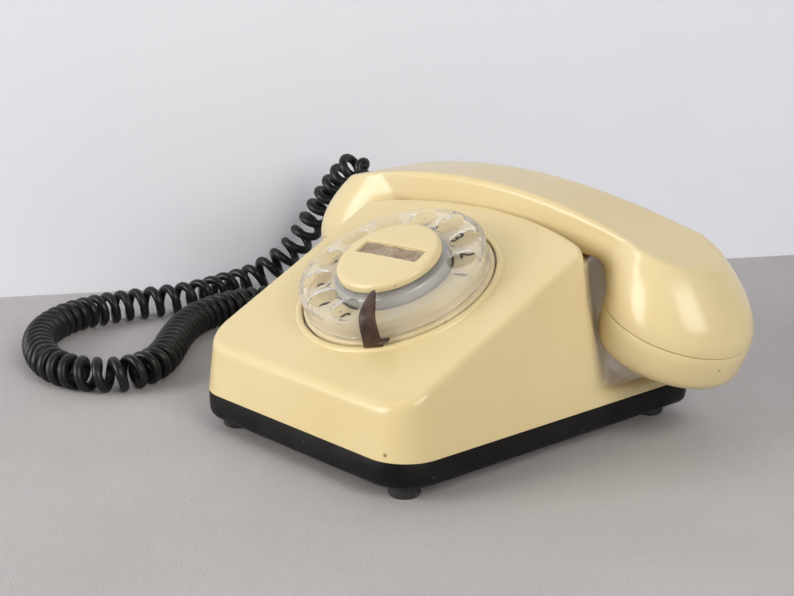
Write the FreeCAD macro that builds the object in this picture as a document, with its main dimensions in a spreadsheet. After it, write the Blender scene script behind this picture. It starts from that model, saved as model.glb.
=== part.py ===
import FreeCAD, Part
import math
import os
import Sketcher

Vec = FreeCAD.Vector
doc = FreeCAD.newDocument("rotary_telephone")
sheet = doc.addObject("Spreadsheet::Sheet", "Sizes")

# Driving dimensions, in millimetres and degrees
SIZES = [
    # plan of the base and its tray
    ("base_depth", 169.6),
    ("front_half_width", 65.0),
    ("rear_half_width", 79.0),
    ("front_corner", 19.0),
    ("rear_corner", 9.0),
    ("foot_height", 6.0),
    ("foot_radius", 6.5),
    ("foot_inset", 14.0),
    ("tray_height", 11.5),
    ("tray_wall", 2.5),
    ("tray_floor", 2.5),
    ("tray_chamfer", 2.0),
    ("seat_clearance", 0.3),
    # housing
    ("housing_wall", 2.8),
    ("draft_angle", 7.0),
    ("crease_height", 39.0),
    ("slope_angle", 23.8),
    ("ledge_height", 6.0),
    ("shelf_height", 75.0),
    ("trough_radius", 180.0),
    ("trough_lead", 19.7),
    ("waist_lead", 37.0),
    ("waist_depth", 34.0),
    ("waist_half_width", 49.0),
    ("waist_outer_radius", 45.0),
    ("waist_inner_radius", 30.0),
    ("waist_rear_corner", 8.0),
    ("boss_radius", 3.5),
    ("boss_inset", 8.0),
    ("screw_radius", 1.5),
    ("screw_head_radius", 2.8),
    ("screw_head_height", 2.2),
    ("screw_grip", 12.0),
    # dial
    ("dial_shift", 1.13),
    ("plate_radius", 42.2),
    ("plate_gap", 0.8),
    ("plate_top", 2.0),
    ("plate_thickness", 3.0),
    ("ring_width", 2.5),
    ("ring_rise", 1.2),
    ("wheel_radius", 41.0),
    ("wheel_top", 12.0),
    ("wheel_thickness", 3.0),
    ("hole_circle", 33.8),
    ("hole_radius", 6.3),
    ("hole_pitch", 28.2),
    ("first_hole", 23.0),
    ("hub_radius", 22.0),
    ("cap_radius", 23.0),
    ("cap_thickness", 4.5),
    ("window_length", 33.5),
    ("window_width", 8.2),
    ("window_offset", 2.0),
    ("window_turn", 5.0),
    ("window_depth", 1.6),
    ("card_thickness", 0.4),
    ("stop_angle", 300.0),
    ("stop_width", 9.0),
    ("stop_thickness", 1.2),
    ("stop_reach", 16.0),
    ("stop_rise", 2.6),
    # dial works
    ("frame_depth", 9.0),
    ("frame_wall", 2.0),
    ("frame_flange", 3.0),
    ("shaft_radius", 3.0),
    ("arbor_radius", 1.5),
    ("running_clearance", 0.05),
    ("gear_module", 0.8),
    ("gear_thickness", 2.0),
    ("gear_drop", 2.0),
    ("pulse_module", 0.6),
    ("pulse_gear_drop", 3.5),
    ("pulse_gear_thickness", 1.5),
    ("bridge_drop", 27.0),
    ("bridge_thickness", 1.6),
    ("bridge_half_width", 10.0),
    ("post_radius", 2.4),
    ("spring_radius", 10.0),
    ("spring_strip", 0.5),
    ("spring_height", 6.0),
    ("governor_radius", 8.0),
    ("governor_height", 5.0),
    ("cam_radius", 3.6),
    # handset
    ("handset_offset", 2.2),
    ("handset_inset", 31.8),
    ("saddle_gap", 3.8),
    ("handset_tilt", 2.46),
    ("crest_radius", 322.0),
    ("handle_half_width", 15.0),
    ("handle_taper", 4.0),
    ("handle_thickness", 21.0),
    ("cup_span", 89.2),
    ("cup_drop", 42.2),
    ("cup_angle", 15.2),
    ("cup_radius", 31.8),
    ("cup_height", 27.6),
    ("crown_radius", 20.0),
    ("crown_offset", 11.0),
    ("handset_wall", 2.8),
    ("cap_height", 17.5),
    ("cap_wall", 2.5),
    ("neck_height", 5.0),
    ("capsule_radius", 25.0),
    ("capsule_height", 12.0),
    ("sound_hole", 1.6),
    ("sound_circle", 10.0),
    # hook switch
    ("plunger_radius", 4.0),
    ("plunger_span", 22.0),
    ("pad_span", 42.0),
    ("pad_width", 5.0),
    ("pad_depth", 22.0),
    ("lever_height", 60.0),
    ("lever_thickness", 2.0),
    ("lever_reach", 25.0),
    ("pin_radius", 1.5),
    ("bracket_half_width", 12.0),
    ("bracket_thickness", 2.0),
    # bell
    ("gong_radius", 18.5),
    ("gong_height", 14.0),
    ("gong_wall", 1.5),
    ("gong_span", 22.5),
    ("gong_inset", 27.8),
    ("gong_lift", 5.0),
    ("ringer_plate", 1.6),
    ("coil_radius", 8.0),
    ("coil_length", 20.0),
    ("coil_span", 30.0),
    ("coil_lead", 45.8),
    ("clapper_ball", 2.2),
    ("clapper_rod", 0.8),
    ("clapper_reach", 34.0),
    # electrics
    ("board_length", 84.0),
    ("board_width", 44.0),
    ("board_thickness", 1.6),
    ("board_setback", 26.0),
    ("standoff_height", 4.0),
    ("standoff_radius", 3.0),
    ("standoff_inset", 5.0),
    ("capacitor_radius", 6.5),
    ("capacitor_length", 26.0),
    ("induction_size", 18.0),
    ("terminal_length", 40.0),
    ("terminal_width", 10.0),
    ("terminal_height", 9.0),
    ("terminal_pitch", 8.0),
    # cords
    ("cord_wire", 4.6),
    ("curl_radius", 6.2),
    ("gland_radius", 4.2),
    ("gland_flange", 6.0),
    ("gland_flange_thickness", 1.6),
    ("gland_length", 14.0),
    ("gland_height", 6.0),
    ("gland_inset", 24.8),
    ("inlet_radius", 4.0),
    ("inlet_bore", 2.4),
]

HOLE_COUNT = 10
MAIN_TEETH = 60
PINION_TEETH = 12
PULSE_TEETH = 30
GOVERNOR_TEETH = 15
SPRING_TURNS = 4


class Size:
    """A number together with the sheet expression that gives it."""

    def __init__(self, value, text):
        self.value = value
        self.text = text

    def combine(self, other, sign, value):
        return Size(value, "(%s %s %s)" % (self.text, sign, other.text))

    def __add__(self, other):
        other = as_size(other)
        return self.combine(other, "+", self.value + other.value)

    def __sub__(self, other):
        other = as_size(other)
        return self.combine(other, "-", self.value - other.value)

    def __mul__(self, other):
        other = as_size(other)
        return self.combine(other, "*", self.value * other.value)

    def __truediv__(self, other):
        other = as_size(other)
        return self.combine(other, "/", self.value / other.value)

    def __neg__(self):
        return as_size(0.0) - self

    __radd__ = __add__
    __rmul__ = __mul__


def as_size(number):
    if isinstance(number, Size):
        return number
    return Size(float(number), "%.6f" % number)


def sine(angle):
    return Size(math.sin(math.radians(angle.value)), "sin(%s)" % angle.text)


def cosine(angle):
    return Size(math.cos(math.radians(angle.value)), "cos(%s)" % angle.text)


def tangent(angle):
    return Size(math.tan(math.radians(angle.value)), "tan(%s)" % angle.text)


class Sheet:
    """The driving dimensions by name."""


s = Sheet()
for row, (alias, number) in enumerate(SIZES, start=1):
    sheet.set("A%d" % row, alias)
    sheet.set("B%d" % row, str(number))
    sheet.setAlias("B%d" % row, alias)
    setattr(s, alias, Size(number, "Sizes." + alias))
doc.recompute()

nodes = []


def node(piece, label):
    piece.Label = label
    nodes.append(piece)
    return piece


def bind(piece, **values):
    for name, number in values.items():
        piece.setExpression(name, as_size(number).text)


def place(piece, x=0.0, y=0.0, z=0.0, turn=None):
    where = [as_size(number) for number in (x, y, z)]
    turn = turn or FreeCAD.Rotation()
    piece.Placement = FreeCAD.Placement(Vec(*[number.value for number in where]), turn)
    for name, number in zip("xyz", where):
        piece.setExpression("Placement.Base." + name, number.text)
    return piece


def cylinder(name, radius, height, x=0.0, y=0.0, z=0.0, turn=None):
    piece = doc.addObject("Part::Cylinder", name)
    bind(piece, Radius=radius, Height=height)
    return place(piece, x, y, z, turn)


def box(name, length, width, height, x=0.0, y=0.0, z=0.0):
    """A block centred on x and y, standing on z."""
    piece = doc.addObject("Part::Box", name)
    bind(piece, Length=length, Width=width, Height=height)
    return place(piece, as_size(x) - as_size(length) / 2, as_size(y) - as_size(width) / 2, z)


def fuse(name, pieces):
    joined = doc.addObject("Part::MultiFuse", name)
    joined.Shapes = pieces
    return joined


def cut(name, base, tool):
    trimmed = doc.addObject("Part::Cut", name)
    trimmed.Base = base
    trimmed.Tool = tool
    return trimmed


def group(name, pieces):
    together = doc.addObject("Part::Compound", name)
    together.Links = pieces
    return together


def origin_plane(body, role):
    return [plane for plane in body.Origin.OriginFeatures if plane.Role == role][0]


def closed_sketch(body, name, role, corners):
    """A closed outline whose every corner is tied to the sheet."""
    sketch = body.newObject("Sketcher::SketchObject", name)
    sketch.AttachmentSupport = [(origin_plane(body, role), "")]
    sketch.MapMode = "FlatFace"
    corners = [(as_size(x), as_size(y)) for x, y in corners]
    points = [Vec(x.value, y.value, 0) for x, y in corners]
    count = len(points)
    for index in range(count):
        sketch.addGeometry(Part.LineSegment(points[index], points[(index + 1) % count]), False)
    for index in range(count):
        sketch.addConstraint(Sketcher.Constraint("Coincident", index, 2, (index + 1) % count, 1))
    for index, (x, y) in enumerate(corners):
        for kind, number in (("DistanceX", x), ("DistanceY", y)):
            rule = sketch.addConstraint(Sketcher.Constraint(kind, -1, 1, index, 1, number.value))
            sketch.setExpression("Constraints[%d]" % rule, number.text)
    return sketch


def turned(name, profile):
    """A body of revolution about its own Z axis, from (radius, height) corners."""
    body = doc.addObject("PartDesign::Body", name)
    sketch = closed_sketch(body, name + "_profile", "XZ_Plane", profile)
    spin = body.newObject("PartDesign::Revolution", name + "_spin")
    spin.Profile = sketch
    spin.ReferenceAxis = (sketch, ["V_Axis"])
    spin.Angle = 360.0
    sketch.Visibility = False
    return body


def padded(name, role, corners, length, middle=False):
    """A plate padded from an outline on one of its own planes."""
    body = doc.addObject("PartDesign::Body", name)
    sketch = closed_sketch(body, name + "_outline", role, corners)
    pad = body.newObject("PartDesign::Pad", name + "_pad")
    pad.Profile = sketch
    bind(pad, Length=length)
    pad.SideType = "Symmetric" if middle else "One side"
    return body


def shaped(name, shape):
    piece = doc.addObject("Part::Feature", name)
    piece.Shape = shape
    return piece


# Levels and places that several pieces share
front_y = -s.base_depth / 2
rear_y = s.base_depth / 2
seam_z = s.foot_height + s.tray_height
floor_z = s.foot_height + s.tray_floor
slope = s.slope_angle.value
slope_turn = FreeCAD.Rotation(Vec(1, 0, 0), slope)
draft = math.tan(math.radians(s.draft_angle.value))
crease_y = front_y + (s.crease_height - seam_z) * tangent(s.draft_angle)
handset_y = rear_y - s.handset_inset
trough_y = handset_y - s.trough_lead
dial_y = (crease_y + trough_y) / 2 + s.dial_shift
dial_z = s.crease_height + (dial_y - crease_y) * tangent(s.slope_angle)
crest_z = s.shelf_height + s.saddle_gap + s.handle_thickness


def on_dial(piece, x=0.0, y=0.0, rise=0.0):
    """Moves a piece made about its own Z axis onto the sloped dial face."""
    up_slope = as_size(y)
    rise = as_size(rise)
    return place(
        piece,
        x,
        dial_y + up_slope * cosine(s.slope_angle) - rise * sine(s.slope_angle),
        dial_z + up_slope * sine(s.slope_angle) + rise * cosine(s.slope_angle),
        slope_turn,
    )


def outline(corners, radii, inset, height):
    """A closed wire of lines and tangent arcs, drawn in by inset from a counter-clockwise polygon."""
    count = len(corners)
    points = [Vec(x, y, 0) for x, y in corners]
    along = [(points[(k + 1) % count] - points[k]).normalize() for k in range(count)]
    inward = [Vec(-d.y, d.x, 0) for d in along]
    moved = []
    for k in range(count):
        before = along[k - 1]
        after = along[k]
        start = points[k] + inward[k - 1] * inset
        gap = points[k] + inward[k] * inset - start
        turn = before.x * after.y - before.y * after.x
        moved.append(start + before * ((gap.x * after.y - gap.y * after.x) / turn))
    arcs = []
    for k in range(count):
        before = along[k - 1]
        after = along[k]
        turn = before.x * after.y - before.y * after.x
        radius = radii[k] - inset if turn > 0 else radii[k] + inset
        radius = max(radius, s.seat_clearance.value)
        half = before.getAngle(after) / 2
        reach = radius * math.tan(half)
        corner = moved[k]
        first = corner - before * reach
        last = corner + after * reach
        bisector = (after - before).normalize()
        middle = corner + bisector * (radius / math.cos(half) - radius)
        arcs.append((first, middle, last))
    edges = []
    for k in range(count):
        first, middle, last = arcs[k]
        edges.append(Part.Arc(first, middle, last).toShape())
        edges.append(Part.makeLine(last, arcs[(k + 1) % count][0]))
    wire = Part.Wire(edges)
    wire.translate(Vec(0, 0, height))
    return wire


half_depth = s.base_depth.value / 2
plan_slope = (s.rear_half_width.value - s.front_half_width.value) / s.base_depth.value


def half_width_at(y):
    return s.front_half_width.value + plan_slope * (y + half_depth)


base_corners = [
    (-s.front_half_width.value, -half_depth),
    (s.front_half_width.value, -half_depth),
    (s.rear_half_width.value, half_depth),
    (-s.rear_half_width.value, half_depth),
]
base_radii = [s.front_corner.value] * 2 + [s.rear_corner.value] * 2

waist_y = (handset_y - s.waist_lead).value
waist_rear_y = waist_y + s.waist_depth.value
right_side = [
    (s.front_half_width.value, -half_depth),
    (half_width_at(waist_y), waist_y),
    (s.waist_half_width.value, waist_rear_y),
    (s.waist_half_width.value, half_depth),
]
upper_corners = right_side + [(-x, y) for x, y in reversed(right_side)]
side_radii = [
    s.front_corner.value,
    s.waist_outer_radius.value,
    s.waist_inner_radius.value,
    s.waist_rear_corner.value,
]
upper_radii = side_radii + side_radii[::-1]


def between(corners, radii, low, high, low_inset, high_inset):
    ends = [outline(corners, radii, low_inset, low), outline(corners, radii, high_inset, high)]
    return Part.makeLoft(ends, True, True)


# Base tray: a black moulded dish with a softened lower edge and four screw posts
foot = s.foot_height.value
seam = seam_z.value
chamfer = s.tray_chamfer.value
tray_inside = floor_z.value
tray = between(base_corners, base_radii, foot, foot + chamfer, chamfer, 0.0)
tray = tray.fuse(between(base_corners, base_radii, foot + chamfer, seam, 0.0, 0.0))
tray = tray.cut(
    between(base_corners, base_radii, tray_inside, seam, s.tray_wall.value, s.tray_wall.value)
)
boss_y = [waist_y - s.waist_depth.value, half_depth - s.boss_inset.value]
boss_x = [
    half_width_at(boss_y[0]) - s.boss_inset.value - s.housing_wall.value,
    s.waist_half_width.value - s.boss_inset.value,
]
boss_places = [(side * x, y) for x, y in zip(boss_x, boss_y) for side in (-1, 1)]
bore = s.screw_radius.value + s.running_clearance.value
head_top = foot + s.tray_floor.value
for x, y in boss_places:
    tray = tray.fuse(Part.makeCylinder(s.boss_radius.value, seam - foot, Vec(x, y, foot)))
for x, y in boss_places:
    tray = tray.cut(Part.makeCylinder(bore, seam - foot, Vec(x, y, foot)))
    well = s.screw_head_radius.value + s.seat_clearance.value
    tray = tray.cut(Part.makeCylinder(well, s.screw_head_height.value, Vec(x, y, foot)))
gland_y = half_depth - s.gland_inset.value
gland_x = -half_width_at(gland_y)
gland_z = s.foot_height + s.gland_height
tray_wall_x = gland_x + s.tray_wall.value
gland_hole = s.gland_radius.value + s.running_clearance.value
hole_length = 4 * s.tray_wall.value
tray = tray.cut(
    Part.makeCylinder(gland_hole, hole_length, Vec(gland_x - hole_length / 2, gland_y, gland_z.value), Vec(1, 0, 0))
)
inlet_hole = s.inlet_radius.value + s.running_clearance.value
tray = tray.cut(
    Part.makeCylinder(inlet_hole, hole_length, Vec(0, half_depth - hole_length / 2, gland_z.value), Vec(0, 1, 0))
)
node(shaped("Tray", tray.removeSplitter()), "base_tray")

# Rubber feet under the four corners of the tray
foot_places = []
for y in (front_y + s.foot_inset, rear_y - s.foot_inset):
    width = half_width_at(y.value) - s.foot_inset.value
    foot_places += [(-width, y), (width, y)]
feet = [cylinder("Foot", s.foot_radius, s.foot_height, x, y) for x, y in foot_places]
node(group("Feet", feet), "rubber_feet")

# Housing: one cream shell with a sloped dial face, a cradle shelf and a drawn-in waist beside each cup
ledge = seam + s.ledge_height.value
roof = crest_z.value
wall = s.housing_wall.value


def housing_mass(inset):
    """The outer form of the housing, or the hollow inside it when drawn in by inset."""
    ledge_top = ledge - inset
    form = between(base_corners, base_radii, seam, ledge_top, inset, inset + (ledge_top - seam) * draft)
    tall = between(upper_corners, upper_radii, seam, roof, inset, inset + (roof - seam) * draft)
    form = form.fuse(tall)
    sky = Part.makeBox(4 * half_depth, 4 * half_depth, roof, Vec(-2 * half_depth, -half_depth, -inset))
    sky.Placement = FreeCAD.Placement(
        Vec(0, crease_y.value, s.crease_height.value), slope_turn
    ).multiply(sky.Placement)
    shelf = s.shelf_height.value - inset
    cradle = Part.makeBox(4 * half_depth, 2 * half_depth, roof, Vec(-2 * half_depth, -half_depth, shelf))
    arc_y = trough_y.value - s.trough_radius.value
    front = Part.makeCylinder(s.trough_radius.value - inset, 2 * roof, Vec(0, arc_y, 0))
    return form.cut(sky).cut(cradle.cut(front))


outside = housing_mass(0.0)
housing = outside.cut(housing_mass(wall))
for x, y in boss_places:
    housing = housing.fuse(Part.makeCylinder(s.boss_radius.value, roof, Vec(x, y, seam)).common(outside))
for x, y in boss_places:
    pilot = Part.makeCylinder(s.screw_radius.value, s.screw_grip.value + s.screw_radius.value, Vec(x, y, seam))
    housing = housing.cut(pilot)


def dial_solid(solid):
    solid.Placement = FreeCAD.Placement(Vec(0, dial_y.value, dial_z.value), slope_turn).multiply(solid.Placement)
    return solid


mouth = s.plate_radius.value + s.plate_gap.value
ring_outer = mouth + s.ring_width.value
raised = dial_solid(Part.makeCylinder(ring_outer, s.ring_rise.value + wall, Vec(0, 0, -wall)))
housing = housing.fuse(raised)
housing = housing.cut(dial_solid(Part.makeCylinder(mouth, 4 * wall, Vec(0, 0, -2 * wall))))


def handset_point(x, y, z):
    """A point given in the handset's own frame, put where the handset rests."""
    tilt = math.radians(s.handset_tilt.value)
    return Vec(
        s.handset_offset.value + x * math.cos(tilt) + z * math.sin(tilt),
        handset_y.value + y,
        crest_z.value - x * math.sin(tilt) + z * math.cos(tilt),
    )


def handle_underside(x, half):
    """The lowest level of the handle's underside between x - half and x + half."""
    ends = [x - half - s.handset_offset.value, x + half - s.handset_offset.value]
    return min(handset_point(end, 0, -s.handle_thickness.value).z for end in ends)


for side in (-1, 1):
    x = side * s.pad_span.value
    top = handle_underside(x, s.pad_width.value / 2) - s.seat_clearance.value
    pad = Part.makeBox(
        s.pad_width.value,
        s.pad_depth.value,
        top - s.shelf_height.value,
        Vec(x - s.pad_width.value / 2, handset_y.value - s.pad_depth.value / 2, s.shelf_height.value),
    )
    housing = housing.fuse(pad)
    hole = s.plunger_radius.value + s.seat_clearance.value
    place_at = Vec(side * s.plunger_span.value, handset_y.value, s.shelf_height.value - 2 * wall)
    housing = housing.cut(Part.makeCylinder(hole, 3 * wall, place_at))
node(shaped("Housing", housing.removeSplitter()), "housing")

# Screws that hold the housing on the tray
screws = []
for x, y in boss_places:
    head = cylinder("ScrewHead", s.screw_head_radius, s.screw_head_height, x, y, s.foot_height)
    length = s.tray_height + s.screw_grip
    shank = cylinder("ScrewShank", s.screw_radius, length, x, y, s.foot_height)
    screws.append(fuse("HousingScrew", [head, shank]))
node(group("HousingScrews", screws), "housing_screws")

# Dial frame: a metal dish under the sloped face that carries the works and the number plate
plate_bottom = s.plate_top - s.plate_thickness
frame_floor = -s.frame_depth
frame_rim = s.plate_radius - s.frame_wall
flange_top = -s.housing_wall
frame_top = frame_floor + s.frame_wall
frame_bore = s.shaft_radius + s.running_clearance
dish = turned(
    "DialDish",
    [
        (frame_bore, frame_floor),
        (s.plate_radius - s.plate_gap, frame_floor),
        (s.plate_radius - s.plate_gap, flange_top - s.frame_wall),
        (s.plate_radius + s.plate_gap + s.frame_flange, flange_top - s.frame_wall),
        (s.plate_radius + s.plate_gap + s.frame_flange, flange_top),
        (s.plate_radius - s.plate_gap, flange_top),
        (s.plate_radius - s.plate_gap, plate_bottom),
        (frame_rim - s.plate_gap, plate_bottom),
        (frame_rim - s.plate_gap, frame_top),
        (frame_bore, frame_top),
    ],
)
pulse_distance = s.gear_module * ((MAIN_TEETH + PINION_TEETH) / 2)
governor_distance = s.pulse_module * ((PULSE_TEETH + GOVERNOR_TEETH) / 2)
pulse_x = -pulse_distance
governor_y = -governor_distance
arbor_bore = s.arbor_radius + s.running_clearance
frame_holes = [
    cylinder("PulseBore", arbor_bore, s.frame_wall * 3, pulse_x, 0, frame_floor - s.frame_wall),
    cylinder("GovernorBore", arbor_bore, s.frame_wall * 3, pulse_x, governor_y, frame_floor - s.frame_wall),
]
frame = cut("DialFrame", dish, fuse("FrameBores", frame_holes))
node(on_dial(frame), "dial_frame")

# Number plate: a cream disc lying in the mouth of the housing on the rim of the dial frame
plate = turned(
    "NumberPlate",
    [
        (s.hub_radius + s.seat_clearance, plate_bottom),
        (s.plate_radius, plate_bottom),
        (s.plate_radius, s.plate_top),
        (s.hub_radius + s.seat_clearance, s.plate_top),
    ],
)
node(on_dial(plate), "number_plate")

# Finger wheel: clear plastic, ten finger holes, with a turned-down rim
wheel_bottom = s.wheel_top - s.wheel_thickness
rim_drop = s.wheel_thickness * 0.8
wheel_disc = turned(
    "WheelDisc",
    [
        (s.shaft_radius, wheel_bottom),
        (s.wheel_radius - s.wheel_thickness, wheel_bottom),
        (s.wheel_radius - s.wheel_thickness * 0.5, wheel_bottom - rim_drop),
        (s.wheel_radius, wheel_bottom - rim_drop),
        (s.wheel_radius, s.wheel_top - s.wheel_thickness * 0.7),
        (s.wheel_radius - s.wheel_thickness * 0.5, s.wheel_top),
        (s.shaft_radius, s.wheel_top),
    ],
)
finger_holes = []
for index in range(HOLE_COUNT):
    angle = s.first_hole + s.hole_pitch * index
    finger_holes.append(
        cylinder(
            "FingerHole",
            s.hole_radius,
            s.wheel_thickness * 3,
            s.hole_circle * cosine(angle),
            s.hole_circle * sine(angle),
            wheel_bottom - s.wheel_thickness,
        )
    )
wheel = cut("FingerWheel", wheel_disc, fuse("FingerHoles", finger_holes))
node(on_dial(wheel), "finger_wheel")

# Hub drum: the grey metal drum seen through the wheel, which carries the wheel on the shaft
drum = turned(
    "HubDrum",
    [
        (s.shaft_radius, frame_top + s.seat_clearance),
        (s.hub_radius, frame_top + s.seat_clearance),
        (s.hub_radius, wheel_bottom),
        (s.shaft_radius, wheel_bottom),
    ],
)
node(on_dial(drum), "hub_drum")

# Centre cap with a window, and the paper card that lies in it
window_turn = FreeCAD.Rotation(Vec(0, 0, 1), s.window_turn.value)
cap_edge = s.cap_thickness * 0.25
cap_disc = turned(
    "CapDisc",
    [
        (0.0, s.wheel_top),
        (s.cap_radius, s.wheel_top),
        (s.cap_radius, s.wheel_top + s.cap_thickness - cap_edge),
        (s.cap_radius - cap_edge, s.wheel_top + s.cap_thickness),
        (0.0, s.wheel_top + s.cap_thickness),
    ],
)
card_seat = s.wheel_top + s.cap_thickness - s.window_depth
window = padded(
    "Window",
    "XY_Plane",
    [
        (-s.window_length / 2, s.window_offset - s.window_width / 2),
        (s.window_length / 2, s.window_offset - s.window_width / 2),
        (s.window_length / 2, s.window_offset + s.window_width / 2),
        (-s.window_length / 2, s.window_offset + s.window_width / 2),
    ],
    s.window_depth * 2,
)
place(window, 0, 0, card_seat, window_turn)
cap = cut("CentreCap", cap_disc, window)
node(on_dial(cap), "centre_cap")
card_edge = s.card_thickness / 2
card = padded(
    "LabelCard",
    "XY_Plane",
    [
        (-s.window_length / 2 + card_edge, s.window_offset - s.window_width / 2 + card_edge),
        (s.window_length / 2 - card_edge, s.window_offset - s.window_width / 2 + card_edge),
        (s.window_length / 2 - card_edge, s.window_offset + s.window_width / 2 - card_edge),
        (-s.window_length / 2 + card_edge, s.window_offset + s.window_width / 2 - card_edge),
    ],
    s.card_thickness,
)
on_dial(card, 0, 0, card_seat)
card.Placement = FreeCAD.Placement(card.Placement.Base, slope_turn.multiply(window_turn))
node(card, "label_card")

# Finger stop: a dark bent claw that rises from the plate's edge and reaches over the wheel
stop_base = s.plate_top
stop_root = s.plate_radius - s.stop_thickness * 2
stop_over = s.wheel_top + s.stop_rise
claw = padded(
    "FingerStop",
    "XZ_Plane",
    [
        (stop_root, stop_base),
        (s.plate_radius, stop_base),
        (s.plate_radius + s.stop_thickness * 0.6, stop_over + s.stop_thickness * 0.4),
        (s.plate_radius - s.stop_thickness, stop_over + s.stop_thickness),
        (stop_root - s.stop_reach, stop_over + s.stop_thickness * 0.2),
        (stop_root - s.stop_reach, stop_over - s.stop_thickness * 0.8),
        (stop_root - s.stop_thickness, stop_over - s.stop_thickness * 0.2),
        (s.wheel_radius + s.seat_clearance, stop_over - s.stop_thickness),
        (s.wheel_radius + s.seat_clearance, stop_base + s.stop_thickness),
        (stop_root, stop_base + s.stop_thickness),
    ],
    s.stop_width,
    middle=True,
)
on_dial(claw)
claw.Placement = FreeCAD.Placement(
    claw.Placement.Base, slope_turn.multiply(FreeCAD.Rotation(Vec(0, 0, 1), s.stop_angle.value))
)
node(claw, "finger_stop")

# Dial shaft with its clamping screw, and the main gear under the frame
gear_top = frame_floor - s.gear_drop
gear_low = gear_top - s.gear_thickness
bridge_top = -s.bridge_drop + s.bridge_thickness
shaft = cylinder("DialShaft", s.shaft_radius, s.wheel_top + s.bridge_drop)
node(on_dial(shaft, 0, 0, -s.bridge_drop), "dial_shaft")


def gear(name, teeth, module, low, thickness, bore_radius, phase):
    """A spur gear of straight-flanked teeth, thin enough to run with backlash."""
    pitch = module * teeth / 2
    root = pitch - 1.15 * module
    tip = pitch + 0.85 * module
    step = 2 * math.pi / teeth
    corners = []
    for tooth in range(teeth):
        middle = phase + tooth * step
        for radius, share in ((root, -0.30), (tip, -0.12), (tip, 0.12), (root, 0.30)):
            angle = middle + share * step
            corners.append(Vec(radius * math.cos(angle), radius * math.sin(angle), low))
    face = Part.Face(Part.makePolygon(corners + corners[:1]))
    solid = face.extrude(Vec(0, 0, thickness))
    return solid.cut(Part.makeCylinder(bore_radius, thickness, Vec(0, 0, low)))


module = s.gear_module.value
small = s.pulse_module.value
pinion_step = math.pi / PINION_TEETH
main_phase = math.pi
main = shaped(
    "MainGear",
    gear("Main", MAIN_TEETH, module, 0.0, s.gear_thickness.value, s.shaft_radius.value, main_phase),
)
node(on_dial(main, 0, 0, gear_low), "main_gear")

# Pulse shaft: pinion, gear and cam on one arbor that opens the pulse contacts as the dial runs home
pulse_gear_low = gear_low - s.pulse_gear_drop
arbor = cylinder("PulseArbor", s.arbor_radius, s.bridge_drop - s.frame_depth + s.frame_wall, 0, 0, -s.bridge_drop)
pinion_solid = gear(
    "Pinion", PINION_TEETH, module, gear_low.value, s.gear_thickness.value, s.arbor_radius.value / 2,
    pinion_step,
)
pinion = shaped("PulsePinion", pinion_solid)
node(on_dial(fuse("PulseShaft", [arbor, pinion]), pulse_x), "pulse_shaft")
pulse_solid = gear(
    "Pulse", PULSE_TEETH, small, pulse_gear_low.value, s.pulse_gear_thickness.value, s.arbor_radius.value,
    -math.pi / 2,
)
node(on_dial(shaped("PulseGear", pulse_solid), pulse_x), "pulse_gear")
cam_low = pulse_gear_low - s.pulse_gear_drop
cam_round = cylinder("CamRound", s.cam_radius, s.pulse_gear_thickness, 0, 0, cam_low)
cam_flat = box(
    "CamFlat", s.cam_radius * 3, s.cam_radius * 1.5, s.pulse_gear_thickness, 0, 0, cam_low
)
cam_blank = doc.addObject("Part::MultiCommon", "CamBlank")
cam_blank.Shapes = [cam_round, cam_flat]
cam_bore = cylinder("CamBore", s.arbor_radius, s.pulse_gear_thickness, 0, 0, cam_low)
node(on_dial(cut("PulseCam", cam_blank, cam_bore), pulse_x), "pulse_cam")

# Governor: a fast arbor whose two weights rub inside a fixed drum and steady the return speed
governor_arbor = cylinder(
    "GovernorArbor", s.arbor_radius, s.bridge_drop - s.frame_depth + s.frame_wall, 0, 0, -s.bridge_drop
)
governor_pinion = shaped(
    "GovernorPinion",
    gear(
        "Governor", GOVERNOR_TEETH, small, pulse_gear_low.value, s.pulse_gear_thickness.value,
        s.arbor_radius.value / 2, math.pi / 2 + math.pi / GOVERNOR_TEETH,
    ),
)
governor = fuse("GovernorShaft", [governor_arbor, governor_pinion])
node(on_dial(governor, pulse_x, governor_y), "governor_shaft")
weight_low = bridge_top + s.seat_clearance
weight_reach = s.governor_radius - s.frame_wall - s.seat_clearance
weight_round = cylinder("WeightRound", weight_reach, s.governor_height, 0, 0, weight_low)
weight_bar = box("WeightBar", weight_reach * 2, s.arbor_radius * 4, s.governor_height, 0, 0, weight_low)
weight_blank = doc.addObject("Part::MultiCommon", "WeightBlank")
weight_blank.Shapes = [weight_round, weight_bar]
weight_bore = cylinder("WeightBore", s.arbor_radius, s.governor_height, 0, 0, weight_low)
weights = cut("GovernorWeights", weight_blank, weight_bore)
node(on_dial(weights, pulse_x, governor_y), "governor_weights")
governor_drum = turned(
    "GovernorDrum",
    [
        (s.governor_radius - s.frame_wall, bridge_top),
        (s.governor_radius, bridge_top),
        (s.governor_radius, bridge_top + s.governor_height),
        (s.governor_radius - s.frame_wall, bridge_top + s.governor_height),
    ],
)
node(on_dial(governor_drum, pulse_x, governor_y), "governor_drum")

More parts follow.
